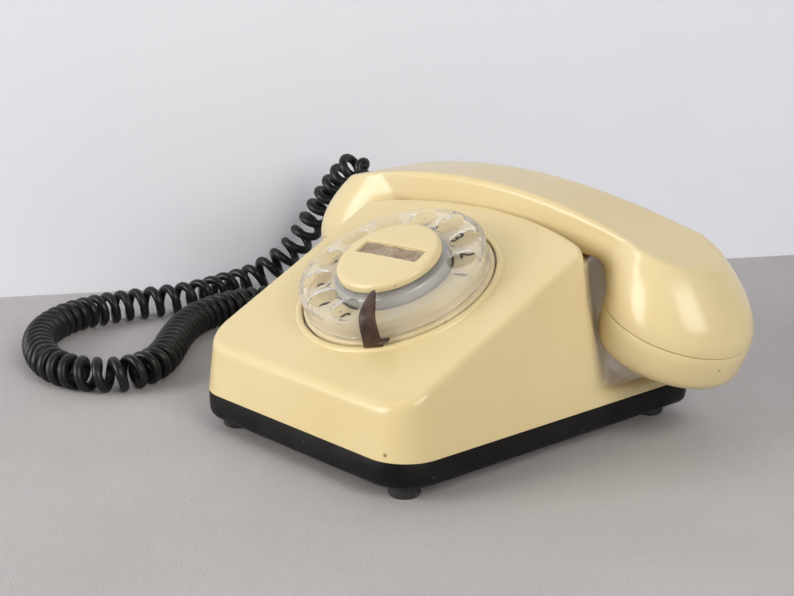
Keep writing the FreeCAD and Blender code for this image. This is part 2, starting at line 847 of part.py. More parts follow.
# Bridge plate under the works, on three posts that hang from the frame
bridge_reach = pulse_distance + s.bridge_half_width
bridge_plate = padded(
    "BridgePlate",
    "XY_Plane",
    [
        (bridge_reach, -s.bridge_half_width * 1.3),
        (bridge_reach, s.bridge_half_width * 1.3),
        (pulse_x, s.bridge_half_width * 2),
        (-bridge_reach, s.bridge_half_width * 2),
        (-bridge_reach, governor_y - s.bridge_half_width),
        (pulse_x + s.bridge_half_width, governor_y - s.bridge_half_width),
    ],
    s.bridge_thickness,
)
place(bridge_plate, 0, 0, -s.bridge_drop)
post_height = s.bridge_drop - s.bridge_thickness - s.frame_depth
post_places = [
    (bridge_reach - s.post_radius * 1.5, 0.0),
    (-bridge_reach + s.post_radius * 1.5, s.bridge_half_width * 2 - s.post_radius * 1.5),
    (pulse_x + s.bridge_half_width - s.post_radius, governor_y - s.bridge_half_width + s.post_radius),
]
posts = [cylinder("BridgePost", s.post_radius, post_height, x, y, bridge_top) for x, y in post_places]
bridge_bores = [
    cylinder("ShaftBore", frame_bore, s.bridge_thickness * 3, 0, 0, -s.bridge_drop - s.bridge_thickness),
    cylinder("PulseBore", arbor_bore, s.bridge_thickness * 3, pulse_x, 0, -s.bridge_drop - s.bridge_thickness),
    cylinder(
        "GovernorBore", arbor_bore, s.bridge_thickness * 3, pulse_x, governor_y, -s.bridge_drop - s.bridge_thickness
    ),
]
bridge = cut("DialBridge", fuse("BridgeBlank", [bridge_plate] + posts), fuse("BridgeBores", bridge_bores))
node(on_dial(bridge), "dial_bridge")

# Mainspring: a flat spiral strip that winds the dial home
spring_inner = s.shaft_radius.value + 2 * s.spring_strip.value
spring_steps = 24 * SPRING_TURNS
spiral = []
for index in range(spring_steps + 1):
    share = index / spring_steps
    radius = spring_inner + (s.spring_radius.value - spring_inner) * share
    angle = 2 * math.pi * SPRING_TURNS * share
    spiral.append((radius, angle))
half_strip = s.spring_strip.value / 2
strip = [Vec((r + half_strip) * math.cos(a), (r + half_strip) * math.sin(a), 0) for r, a in spiral]
strip += [Vec((r - half_strip) * math.cos(a), (r - half_strip) * math.sin(a), 0) for r, a in reversed(spiral)]
coil = Part.Face(Part.makePolygon(strip + strip[:1])).extrude(Vec(0, 0, s.spring_height.value))
node(on_dial(shaped("Mainspring", coil), 0, 0, bridge_top), "mainspring")

# Pulse contacts: two leaves and their insulators standing on the bridge beside the cam
contact_y = s.cam_radius + s.arbor_radius
leaf = s.frame_wall / 4
contact_block = box("ContactBlock", s.post_radius * 2, s.cam_radius * 2, s.spring_height,
                    pulse_x + s.bridge_half_width, contact_y + s.cam_radius, bridge_top)
leaves = [
    box("ContactLeaf", s.bridge_half_width + s.cam_radius, leaf, s.spring_height - s.frame_wall,
        pulse_x + s.cam_radius, contact_y + leaf * shift, bridge_top + s.frame_wall)
    for shift in (1, 5)
]
node(on_dial(fuse("PulseContacts", [contact_block] + leaves)), "pulse_contacts")

# Handset: an arched handle between two domed cups, hollow, with a screwed cap under each cup
handset_turn = FreeCAD.Rotation(Vec(0, 1, 0), s.handset_tilt.value)
handset_place = FreeCAD.Placement(handset_point(0, 0, 0), handset_turn)
cup_t = math.radians(s.cup_angle.value)
cup_span = s.cup_span.value
crown_x = cup_span - s.crown_offset.value * math.cos(cup_t) + s.cup_height.value * math.sin(cup_t)
handle_end = crown_x


def crest_drop(x):
    return s.crest_radius.value - math.sqrt(s.crest_radius.value ** 2 - x * x)


def handle_section(x, inset):
    """A four-sided section of the handle, wider at the top and widening towards the cups."""
    spread = (s.crown_radius.value - s.handle_half_width.value) * (x / handle_end) ** 2
    wide = s.handle_half_width.value + spread - inset
    narrow = wide - s.handle_taper.value
    top = -crest_drop(x) - inset
    low = -s.handle_thickness.value + inset
    corners = [Vec(x, -wide, top), Vec(x, wide, top), Vec(x, narrow, low), Vec(x, -narrow, low)]
    return Part.makePolygon(corners + corners[:1])


def handle_solid(inset):
    stations = [handle_end * share for share in (-1.0, -0.5, 0.0, 0.5, 1.0)]
    return Part.makeLoft([handle_section(x, inset) for x in stations], True, False)


def cup_placement(side):
    """The frame of one cup: its axis leans outwards and its origin is the centre of the cap's seam."""
    return FreeCAD.Placement(
        Vec(side * cup_span, 0, -s.cup_drop.value), FreeCAD.Rotation(Vec(0, 1, 0), side * s.cup_angle.value)
    )


def cup_solid(side, inset):
    """A leaning dome whose inner side stands straight, lofted through four level circles."""
    height = s.cup_height.value
    rings = []
    for share, swell, lean in ((0.0, 0.0, 0.0), (0.33, 0.05, 0.05), (0.67, 0.32, 0.35), (1.0, 1.0, 1.0)):
        radius = s.cup_radius.value + (s.crown_radius.value - s.cup_radius.value) * swell - inset
        level = min(height * share, height - inset)
        centre = Vec(-side * s.crown_offset.value * lean, 0, level)
        rings.append(Part.Wire(Part.makeCircle(radius, centre)))
    dome = Part.makeLoft(rings, True, False)
    dome.Placement = cup_placement(side)
    return dome


shell = handle_solid(0.0)
for side in (-1, 1):
    shell = shell.fuse(cup_solid(side, 0.0))
hollow = handle_solid(s.handset_wall.value)
for side in (-1, 1):
    hollow = hollow.fuse(cup_solid(side, s.handset_wall.value))
shell = shell.cut(hollow)

# Strain relief at the mouthpiece end, leaning out and back from the dome
gland_share = 0.5
gland_turn = math.radians(35)
gland_lift = math.radians(25)
gland_out = Vec(-math.cos(gland_turn), math.sin(gland_turn), 0)
gland_axis = gland_out * math.cos(gland_lift) + Vec(0, 0, 1) * math.sin(gland_lift)
gland_seat = Vec(s.crown_offset.value * 0.15, 0, s.cup_height.value * gland_share)
gland_seat = gland_seat + gland_out * (s.cup_radius.value * 0.94)
mouth_place = handset_place.multiply(cup_placement(-1))
gland_from = gland_seat - gland_axis * (3 * s.handset_wall.value)
relief_hole = Part.makeCylinder(gland_hole, 6 * s.handset_wall.value, gland_from, gland_axis)
relief_hole.Placement = cup_placement(-1).multiply(relief_hole.Placement)
shell = shell.cut(relief_hole)
handset_shell = shaped("HandsetShell", shell.removeSplitter())
handset_shell.Placement = handset_place
node(handset_shell, "handset_shell")

wire = s.cord_wire.value / 2


def strain_relief(start, inner):
    """A rubber sleeve along +Z: a plug in the wall, a flange and a taper down to the cord."""
    plug = Part.makeCylinder(s.gland_radius.value, inner, Vec(0, 0, start - inner))
    flange = Part.makeCylinder(s.gland_flange.value, s.gland_flange_thickness.value, Vec(0, 0, start))
    taper = Part.makeCone(
        s.gland_radius.value, wire + s.seat_clearance.value * 2, s.gland_length.value - s.gland_flange_thickness.value,
        Vec(0, 0, start + s.gland_flange_thickness.value),
    )
    return plug.fuse([flange, taper])


def facing(axis):
    return FreeCAD.Rotation(Vec(0, 0, 1), axis)


relief_rise = s.gland_flange_thickness.value
relief = strain_relief(relief_rise, relief_rise + 3 * s.handset_wall.value)
relief.Placement = FreeCAD.Placement(gland_seat, facing(gland_axis))
relief.Placement = handset_place.multiply(cup_placement(-1)).multiply(relief.Placement)
relief = relief.cut(handset_shell.Shape)
relief = max(relief.Solids, key=lambda solid: solid.Volume)
node(shaped("HandsetRelief", relief), "handset_strain_relief")

# Ear and mouth caps: turned cups with sound holes that screw into the shell
cap_bottom = -s.cap_height
cap_floor = cap_bottom + s.cap_wall
neck_outer = s.cup_radius - s.handset_wall - s.seat_clearance * 3
neck_inner = neck_outer - s.cap_wall
cap_profile = [
    (0.0, cap_bottom),
    (s.cup_radius - s.cap_wall * 2, cap_bottom),
    (s.cup_radius - s.cap_wall * 0.7, cap_bottom + s.cap_wall),
    (s.cup_radius, cap_bottom + s.cap_height * 0.5),
    (s.cup_radius, 0.0),
    (neck_outer, 0.0),
    (neck_outer, s.neck_height),
    (neck_inner, s.neck_height),
    (neck_inner, cap_floor),
    (0.0, cap_floor),
]


def on_cup(piece, side):
    where = handset_place.multiply(cup_placement(side))
    piece.Placement = where
    return piece


def sound_holes(count):
    holes = [cylinder("SoundHole", s.sound_hole, s.cap_wall * 3, 0, 0, cap_bottom - s.cap_wall)]
    for index in range(count):
        angle = 2 * math.pi * index / count
        holes.append(
            cylinder(
                "SoundHole", s.sound_hole, s.cap_wall * 3,
                s.sound_circle * math.cos(angle), s.sound_circle * math.sin(angle), cap_bottom - s.cap_wall,
            )
        )
    return fuse("SoundHoles", holes)


for side, ear, label in ((1, 6, "earpiece"), (-1, 8, "mouthpiece")):
    screwed = cut("Cap", turned("CapBlank", cap_profile), sound_holes(ear))
    node(on_cup(screwed, side), label + "_cap")

# Receiver and transmitter capsules lying on the floors of the caps
capsule_profile = [
    (0.0, cap_floor),
    (s.capsule_radius, cap_floor),
    (s.capsule_radius, cap_floor + s.capsule_height * 0.7),
    (s.capsule_radius * 0.8, cap_floor + s.capsule_height),
    (0.0, cap_floor + s.capsule_height),
]
for side, label in ((1, "receiver_capsule"), (-1, "transmitter_capsule")):
    node(on_cup(turned("Capsule", capsule_profile), side), label)

# Hook switch: two plungers under the handle stand on a lever that works the contact leaves
lever_top = s.lever_height + s.lever_thickness
plungers = []
for side in (-1, 1):
    x = s.plunger_span * side
    top = handle_underside(x.value, s.plunger_radius.value) - s.seat_clearance.value
    stem = cylinder("PlungerStem", s.plunger_radius, top - (lever_top.value + s.seat_clearance.value), x, handset_y,
                    lever_top + s.seat_clearance)
    plungers.append(stem)
node(group("HookPlungers", plungers), "hook_plungers")
pivot_y = handset_y - s.lever_reach
pivot_z = s.lever_height - s.pin_radius * 3
lever_plate = box(
    "LeverPlate", s.plunger_span * 2 + s.plunger_radius * 2, s.lever_reach + s.plunger_radius, s.lever_thickness,
    0, handset_y - s.lever_reach / 2 + s.plunger_radius / 2, s.lever_height,
)
lever_knuckle = cylinder(
    "LeverKnuckle", s.pin_radius * 2, s.bracket_half_width * 2 - s.seat_clearance * 2,
    -s.bracket_half_width + s.seat_clearance, pivot_y, pivot_z, FreeCAD.Rotation(Vec(0, 1, 0), 90),
)
lever_bore = cylinder(
    "LeverBore", s.pin_radius + s.running_clearance, s.plunger_span * 4, -s.plunger_span * 2, pivot_y, pivot_z,
    FreeCAD.Rotation(Vec(0, 1, 0), 90),
)
lever_web = box(
    "LeverWeb", s.bracket_half_width * 2 - s.seat_clearance * 2, s.pin_radius * 2, s.lever_height - pivot_z,
    0, pivot_y + s.pin_radius, pivot_z,
)
lever = cut("HookLever", fuse("LeverBlank", [lever_plate, lever_web, lever_knuckle]), lever_bore)
node(lever, "hook_lever")
pin_length = s.bracket_half_width * 2 + s.bracket_thickness * 2
pin = cylinder(
    "HookPin", s.pin_radius, pin_length, -pin_length / 2, pivot_y, pivot_z, FreeCAD.Rotation(Vec(0, 1, 0), 90)
)
node(pin, "hook_pin")
bracket_height = pivot_z + s.pin_radius * 1.8 - floor_z
ears = []
for side in (-1, 1):
    x = (s.bracket_half_width + s.bracket_thickness / 2) * side
    ears.append(box("BracketEar", s.bracket_thickness, s.pin_radius * 6, bracket_height, x, pivot_y, floor_z))
bracket_foot = box(
    "BracketFoot", s.bracket_half_width * 2 + s.bracket_thickness * 2, s.pin_radius * 6, s.bracket_thickness,
    0, pivot_y, floor_z,
)
bracket_web = box(
    "BracketWeb", s.bracket_half_width * 2 + s.bracket_thickness * 2, s.bracket_thickness,
    bracket_height - s.pin_radius * 8, 0, pivot_y - s.pin_radius * 3 + s.bracket_thickness / 2, floor_z,
)
bracket_bore = cylinder(
    "BracketBore", s.pin_radius, pin_length, -pin_length / 2, pivot_y, pivot_z, FreeCAD.Rotation(Vec(0, 1, 0), 90)
)
bracket = cut("HookBracket", fuse("BracketBlank", ears + [bracket_foot, bracket_web]), bracket_bore)
node(bracket, "hook_bracket")
stack_z = floor_z + bracket_height * 0.45
stack_y = pivot_y - s.pin_radius * 3
stack_block = box("StackBlock", s.bracket_half_width, s.pin_radius * 4, s.pin_radius * 4,
                  0, stack_y - s.pin_radius * 2, stack_z)
stack_leaves = [
    box("StackLeaf", s.bracket_half_width * 0.6, leaf, s.bracket_half_width * 1.6,
        0, stack_y - s.pin_radius * shift, stack_z)
    for shift in (1.0, 2.0, 3.0)
]
node(fuse("HookContacts", [stack_block] + stack_leaves), "hook_contacts")

# Bell: a frame plate on the tray floor, two gongs on posts, two coils and a clapper between the gongs
gong_y = rear_y - s.gong_inset
plate_top_z = floor_z + s.ringer_plate
coil_y = gong_y - s.coil_lead
ringer_depth = gong_y + s.gong_radius * 0.75 - coil_y
ringer_sheet = box(
    "RingerSheet", s.coil_span * 2 + s.coil_radius * 2, ringer_depth, s.ringer_plate,
    0, coil_y + ringer_depth / 2, floor_z,
)
slot = box("BracketSlot", pin_length + s.seat_clearance * 2, s.pin_radius * 6 + s.seat_clearance * 2,
           s.ringer_plate, 0, pivot_y, floor_z)
post_top = plate_top_z + s.gong_lift + s.gong_height - s.gong_wall
gong_posts = [
    cylinder("GongPost", s.screw_radius * 2, post_top - plate_top_z, s.gong_span * side, gong_y, plate_top_z)
    for side in (-1, 1)
]
clapper_y = pivot_y + s.pin_radius * 5
clapper_z = plate_top_z + s.gong_lift + s.clapper_ball
clapper_post = cylinder("ClapperPost", s.pin_radius, clapper_z - plate_top_z + s.clapper_ball, 0, clapper_y, plate_top_z)
frame_blank = cut("RingerBlank", ringer_sheet, slot)
node(fuse("RingerFrame", [frame_blank, clapper_post] + gong_posts), "ringer_frame")
gong_low = plate_top_z + s.gong_lift
gong_top = gong_low + s.gong_height
gong_profile = [
    (s.screw_radius, gong_top - s.gong_wall),
    (s.gong_radius * 0.6, gong_top - s.gong_wall),
    (s.gong_radius - s.gong_wall, gong_top - s.gong_height * 0.4),
    (s.gong_radius - s.gong_wall, gong_low),
    (s.gong_radius, gong_low),
    (s.gong_radius, gong_top - s.gong_height * 0.35),
    (s.gong_radius * 0.65, gong_top),
    (s.screw_radius, gong_top),
]
for side, label in ((-1, "gong_left"), (1, "gong_right")):
    node(place(turned("Gong", gong_profile), s.gong_span * side, gong_y), label)
gong_screws = []
for side in (-1, 1):
    x = s.gong_span * side
    gong_screws.append(cylinder("GongScrewHead", s.screw_head_radius, s.screw_head_height, x, gong_y, gong_top))
    gong_screws.append(cylinder("GongScrewShank", s.screw_radius, s.gong_wall, x, gong_y, gong_top - s.gong_wall))
paired = [fuse("GongScrew", gong_screws[:2]), fuse("GongScrew", gong_screws[2:])]
node(group("GongScrews", paired), "gong_screws")
lying = FreeCAD.Rotation(Vec(1, 0, 0), -90)
coils = []
for side in (-1, 1):
    x = s.coil_span * side
    z = plate_top_z + s.coil_radius
    winding = cylinder("Winding", s.coil_radius - s.gong_wall, s.coil_length, x, coil_y, z, lying)
    cheeks = [
        cylinder("BobbinCheek", s.coil_radius, s.gong_wall, x, coil_y + offset, z, lying)
        for offset in (as_size(0.0), s.coil_length - s.gong_wall)
    ]
    coils.append(fuse("RingerCoil", [winding] + cheeks))
node(group("RingerCoils", coils), "ringer_coils")
ball = doc.addObject("Part::Sphere", "ClapperBall")
bind(ball, Radius=s.clapper_ball)
place(ball, 0, clapper_y + s.clapper_reach - s.clapper_ball, clapper_z)
rod = cylinder("ClapperRod", s.clapper_rod, s.clapper_reach - s.clapper_ball, 0, clapper_y, clapper_z, lying)
knuckle = cylinder("ClapperKnuckle", s.pin_radius * 2, s.clapper_ball * 1.4, 0, clapper_y, clapper_z - s.clapper_ball * 0.7)
knuckle_bore = cylinder("ClapperBore", s.pin_radius + s.running_clearance, s.clapper_ball * 4, 0, clapper_y,
                        clapper_z - s.clapper_ball * 2)
node(cut("Clapper", fuse("ClapperBlank", [ball, rod, knuckle]), knuckle_bore), "clapper")

# Electrics: a board on four standoffs in the front of the tray with what is soldered to it
board_y = front_y + s.board_setback + s.board_width / 2
board_z = floor_z + s.standoff_height
board_top = board_z + s.board_thickness
node(box("CircuitBoard", s.board_length, s.board_width, s.board_thickness, 0, board_y, board_z), "circuit_board")
standoffs = []
for side_x in (-1, 1):
    for side_y in (-1, 1):
        x = (s.board_length / 2 - s.standoff_inset) * side_x
        y = board_y + (s.board_width / 2 - s.standoff_inset) * side_y
        standoffs.append(cylinder("Standoff", s.standoff_radius, s.standoff_height, x, y, floor_z))
node(group("BoardStandoffs", standoffs), "board_standoffs")
across = FreeCAD.Rotation(Vec(0, 1, 0), 90)
capacitor_y = board_y + s.board_width / 2 - s.capacitor_radius - s.standoff_inset
capacitor = cylinder("Capacitor", s.capacitor_radius, s.capacitor_length, -s.board_length / 2 + s.standoff_inset,
                     capacitor_y, board_top + s.capacitor_radius, across)
node(capacitor, "capacitor")
induction_x = s.board_length / 2 - s.induction_size / 2 - s.standoff_inset
core = box("CoilCore", s.induction_size, s.induction_size * 0.5, s.induction_size * 0.8, induction_x, capacitor_y, board_top)
winding = box("CoilWinding", s.induction_size * 0.6, s.induction_size * 0.8, s.induction_size * 0.55,
              induction_x, capacitor_y, board_top + s.induction_size * 0.12)
node(fuse("InductionCoil", [core, winding]), "induction_coil")
terminal_y = board_y - s.board_width / 2 + s.terminal_width / 2 + s.standoff_inset
block = box("TerminalBlock", s.terminal_length, s.terminal_width, s.terminal_height, 0, terminal_y, board_top)
terminal_top = board_top + s.terminal_height
terminal_count = int(s.terminal_length.value // s.terminal_pitch.value)
terminal_screws = []
wells = []
for index in range(terminal_count):
    x = s.terminal_pitch * (index - (terminal_count - 1) / 2)
    wells.append(cylinder("ScrewWell", s.screw_head_radius + s.seat_clearance, s.screw_head_height, x, terminal_y,
                          terminal_top - s.screw_head_height))
    terminal_screws.append(cylinder("TerminalScrew", s.screw_head_radius, s.screw_head_height, x, terminal_y,
                                    terminal_top - s.screw_head_height))
node(cut("Terminals", block, fuse("ScrewWells", wells)), "terminal_block")
node(group("TerminalScrews", terminal_screws), "terminal_screws")

# Cord entries in the tray: the handset cord's strain relief on the left and the line cord's grommet at the rear
wall_inner = 2 * s.tray_wall.value
base_relief = strain_relief(0.0, wall_inner)
relief_x = gland_x - s.seat_clearance.value - s.gland_flange.value * plan_slope
base_relief.Placement = FreeCAD.Placement(Vec(relief_x, gland_y, gland_z.value), facing(Vec(-1, 0, 0)))
node(shaped("BaseRelief", base_relief), "base_strain_relief")
grommet = turned(
    "LineInlet",
    [(s.inlet_bore, 0.0), (s.inlet_radius, 0.0), (s.inlet_radius, s.tray_wall), (s.inlet_bore, s.tray_wall)],
)
node(place(grommet, 0, rear_y - s.tray_wall, gland_z, FreeCAD.Rotation(Vec(1, 0, 0), -90)), "line_inlet")

# Curly handset cord: a helix wound along a hand-chosen route over the floor and up to the handset
relief_tip = gland_seat + gland_axis * (relief_rise + s.gland_length.value)
cord_start = mouth_place.multVec(relief_tip)
cord_heading = mouth_place.Rotation.multVec(gland_axis)
cord_end = Vec(relief_x - s.gland_length.value, gland_y, gland_z.value)
tail = 2 * s.cord_wire.value
rest = s.curl_radius.value + wire + s.seat_clearance.value / 2
ROUTE = [
    (-149, 87.5, 79.0),
    (-159, 88.5, 71.0),
    (-169, 88.5, 61.0),
    (-178, 88.0, 49.5),
    (-186, 86.0, 37.0),
    (-192, 81.5, 26.5),
    (-197, 75.0, 18.5),
    (-201, 66.0, 13.0),
    (-204, 55.0, rest),
    (-204, 43.0, rest),
    (-202, 29.0, rest),
    (-202, 15.0, rest),
    (-206, 0.0, rest),
    (-212, -17.0, rest),
    (-217, -37.0, rest),
    (-214, -59.0, rest),
    (-201, -79.0, rest),
    (-180, -93.0, rest),
    (-157, -101.0, rest),
    (-136, -99.0, rest),
    (-121, -86.0, rest),
    (-121, -67.0, rest),
    (-133, -50.0, rest),
    (-149, -34.0, rest),
    (-164, -15.0, rest),
    (-172, 5.0, rest),
    (-173, 24.0, rest),
    (-165, 42.0, rest),
    (-150, 55.0, rest),
    (-131, 61.0, rest),
    (-114, 61.0, rest),
]
# Spacing of the curls, by point of the route: open where the cord hangs, close in its bends
CURL_PITCH = [(0, 9.4), (9, 9.8), (14, 9.2), (16, 6.8), (18, 6.2), (20, 6.4), (22, 8.4), (23, 6.7),
              (25, 6.2), (29, 6.4), (31, 8.5), (34, 9.5)]
poles = [cord_start, cord_start + cord_heading * (2 * tail)]
poles += [Vec(*point) for point in ROUTE]
poles += [cord_end - Vec(2 * tail, 0, 0), cord_end]
centre_line = Part.BSplineCurve()
spans = len(poles) - 2
centre_line.buildFromPolesMultsKnots(poles, [3] + [1] * (spans - 1) + [3], [k / spans for k in range(spans + 1)], False, 2)
cord_length = centre_line.length()


def curl_pitch(share):
    station = share * (len(poles) - 1)
    for (low, first), (high, last) in zip(CURL_PITCH, CURL_PITCH[1:]):
        if station <= high:
            return first + (last - first) * (station - low) / (high - low)
    return CURL_PITCH[-1][1]


def swell(distance):
    """How far the curls have opened, from the straight tail to the full helix."""
    share = min(max((distance - tail) / (3 * s.curl_radius.value), 0.0), 1.0)
    return share * share * (3 - 2 * share)


def helix_point(distance, turns):
    parameter = centre_line.parameterAtDistance(distance, 0.0)
    tangent_line = centre_line.tangent(parameter)[0]
    up = Vec(0, 0, 1) - tangent_line * tangent_line.z
    up.normalize()
    across_line = tangent_line.cross(up)
    opening = min(swell(distance), swell(cord_length - distance)) * s.curl_radius.value
    angle = 2 * math.pi * turns
    return centre_line.value(parameter) + (up * math.cos(angle) + across_line * math.sin(angle)) * opening


# The helix is followed in small steps, and a knot is kept at each quarter turn
STEP = cord_length / 6000
quarters = [(0.0, 0.0)]
turned_so_far = 0.0
distance = 0.0
while distance < cord_length - tail:
    share = centre_line.parameterAtDistance(distance, 0.0)
    if distance > tail:
        turned_so_far += STEP / curl_pitch(share)
    distance += STEP
    if distance > tail and turned_so_far * 4 >= len(quarters):
        quarters.append((distance, turned_so_far))
last_turn = turned_so_far


def turns_at(distance):
    for (before, low), (after, high) in zip(quarters, quarters[1:] + [(cord_length - tail, last_turn)]):
        if distance <= after:
            return low + (high - low) * max(distance - max(before, tail), 0.0) / max(after - max(before, tail), STEP)
    return last_turn


knots = [0.0, tail] + [place_on for place_on, _ in quarters[1:]]
if cord_length - tail - knots[-1] < s.cord_wire.value:
    knots.pop()
knots += [cord_length - tail, cord_length]
nudge = STEP
points = [helix_point(at, turns_at(at)) for at in knots]
headings = []
for at in knots:
    ahead = min(at + nudge, cord_length)
    behind = max(at - nudge, 0.0)
    headings.append((helix_point(ahead, turns_at(ahead)) - helix_point(behind, turns_at(behind))).normalize())
headings[0] = centre_line.tangent(0.0)[0]
headings[-1] = centre_line.tangent(1.0)[0]


def tangent_arc(start, corner, end):
    """The arc that leaves start towards corner and arrives at end from it."""
    first = corner - start
    last = end - corner
    if first.getAngle(last) < 0.002:
        return Part.makeLine(start, end)
    weight = math.cos(first.getAngle(last) / 2)
    middle = (start + corner * (2 * weight) + end) * (1 / (2 + 2 * weight))
    return Part.Arc(start, middle, end).toShape()


def biarc(start, out, end, into):
    """Two arcs that join start to end and keep both headings."""
    gap = end - start
    both = out + into
    closeness = 2 * (1 - out.dot(into))
    toward = gap.dot(both)
    if closeness < 1e-6:
        reach = gap.dot(gap) / (4 * gap.dot(into))
    else:
        reach = (-toward + math.sqrt(toward * toward + closeness * gap.dot(gap))) / closeness
    near = start + out * reach
    far = end - into * reach
    joint = (near + far) * 0.5
    return [tangent_arc(start, near, joint), tangent_arc(joint, far, end)]


edges = []
for k in range(len(points) - 1):
    edges += biarc(points[k], headings[k], points[k + 1], headings[k + 1])
cord_path = Part.Wire(edges)
section = Part.Wire(Part.makeCircle(wire, points[0], headings[0]))
cord_tube = cord_path.makePipeShell([section], True, False)
node(shaped("HandsetCord", cord_tube), "handset_cord")

# The cord's least gap to itself, measured on points along its centre line
samples = cord_path.discretize(Distance=s.cord_wire.value / 3)
cell = 3 * s.cord_wire.value
reach_along = int(2.2 * math.pi)
buckets = {}
for index, point in enumerate(samples):
    key = (int(point.x // cell), int(point.y // cell), int(point.z // cell))
    buckets.setdefault(key, []).append((index, point))
least = cell
for (i, j, k), members in buckets.items():
    nearby = []
    for a in (-1, 0, 1):
        for b in (-1, 0, 1):
            for c in (-1, 0, 1):
                nearby += buckets.get((i + a, j + b, k + c), [])
    for index, point in members:
        for other, second in nearby:
            if other - index > reach_along:
                least = min(least, point.distanceToPoint(second))
print("cord curls %.1f, wire length %.0f mm, along the route %.0f mm" % (last_turn, cord_path.Length, cord_length))
print("cord least gap to itself %.2f mm" % (least - s.cord_wire.value))
print("cord volume share %.3f" % (cord_tube.Volume / (math.pi * wire * wire * cord_path.Length)))

doc.recompute()
for piece in doc.Objects:
    if "Invalid" in piece.State or "Error" in piece.State:
        raise RuntimeError("failed object " + piece.Label)
os.makedirs("parts", exist_ok=True)
for piece in nodes:
    if piece.Shape.isNull() or not piece.Shape.isValid():
        raise RuntimeError("bad shape " + piece.Label)
    piece.Shape.exportStep("parts/%s.step" % piece.Label)
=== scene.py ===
import math

import bmesh
import bpy
import numpy as np
from mathutils import Matrix, Vector


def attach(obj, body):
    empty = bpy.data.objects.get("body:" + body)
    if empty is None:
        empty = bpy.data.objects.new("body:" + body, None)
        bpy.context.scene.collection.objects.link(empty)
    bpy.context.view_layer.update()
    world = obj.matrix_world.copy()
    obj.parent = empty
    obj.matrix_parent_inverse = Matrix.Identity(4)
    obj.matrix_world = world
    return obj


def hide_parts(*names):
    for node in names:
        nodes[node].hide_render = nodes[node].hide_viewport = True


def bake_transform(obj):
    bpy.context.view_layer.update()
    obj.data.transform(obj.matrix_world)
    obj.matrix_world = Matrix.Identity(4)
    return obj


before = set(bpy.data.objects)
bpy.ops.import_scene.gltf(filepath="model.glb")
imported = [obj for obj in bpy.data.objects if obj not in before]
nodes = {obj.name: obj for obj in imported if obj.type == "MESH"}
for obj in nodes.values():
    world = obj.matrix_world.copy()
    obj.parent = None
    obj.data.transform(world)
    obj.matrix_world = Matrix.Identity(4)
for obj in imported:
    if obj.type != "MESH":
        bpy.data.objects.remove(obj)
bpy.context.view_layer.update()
scene = bpy.context.scene


# The base tray is a shallow black moulding that closes the phone from below.
# Its plan widens to the rear, its lower edge is rounded, and its wall carries the cream housing.
# Its sizes, like those of most pieces, are in millimetres, while meshes and the stage are in metres.
mm = 0.001
tray_front_half = 65.0
tray_rear_half = 79.0
tray_half_depth = 84.8
tray_front_round = 19.0
tray_rear_round = 9.0
tray_wall_rings = [(6.0, 6.0), (3.2, 6.15), (1.6, 6.7), (0.6, 7.7), (0.15, 9.0), (0.0, 10.6),
                   (0.0, 16.7), (0.2, 17.15), (0.6, 17.3), (2.4, 17.3), (2.5, 17.2), (2.5, 8.5)]
tray_colours = [(0.005, 0.005, 0.0055), (0.012, 0.0115, 0.0105), (0.16, 0.15, 0.13)]


def add(tree, kind, settings=(), **values):
    """Adds a node with its settings, and the values of its sockets by name."""
    made = tree.nodes.new(kind)
    for key, value in dict(settings).items():
        setattr(made, key, value)
    for key, value in values.items():
        made.inputs[key.replace("_", " ")].default_value = value
    return made


def join(tree, *links):
    """Links nodes of a tree, each link a node, its output, the next node and its input."""
    for source, given, user, taken in links:
        tree.links.new(source.outputs[given], user.inputs[taken])


def new_group(name, kind, takes, gives):
    """An empty node group with named inputs and outputs, and its two end nodes."""
    tree = bpy.data.node_groups.new(name, kind)
    for way, sockets in (("INPUT", takes), ("OUTPUT", gives)):
        for label, socket in sockets.items():
            tree.interface.new_socket(label, in_out=way, socket_type="NodeSocket" + socket)
    return tree, tree.nodes.new("NodeGroupInput"), tree.nodes.new("NodeGroupOutput")


aged_tint, tint_in, tint_out = new_group(
    "aged_tint", "ShaderNodeTree",
    {"Place": "Vector", "Fresh": "Color", "Aged": "Color", "Patch Scale": "Float"}, {"Colour": "Color"})
tint_patches = add(aged_tint, "ShaderNodeTexNoise", Detail=5.0, Roughness=0.6)
tint_spread = add(aged_tint, "ShaderNodeMapRange", {"interpolation_type": "SMOOTHSTEP"},
                  From_Min=0.32, From_Max=0.68)
tint_mix = add(aged_tint, "ShaderNodeMix", {"data_type": "RGBA"})
join(aged_tint, (tint_in, "Place", tint_patches, "Vector"),
     (tint_in, "Patch Scale", tint_patches, "Scale"), (tint_patches, "Fac", tint_spread, "Value"),
     (tint_spread, "Result", tint_mix, 0), (tint_in, "Fresh", tint_mix, 6),
     (tint_in, "Aged", tint_mix, 7), (tint_mix, 2, tint_out, "Colour"))

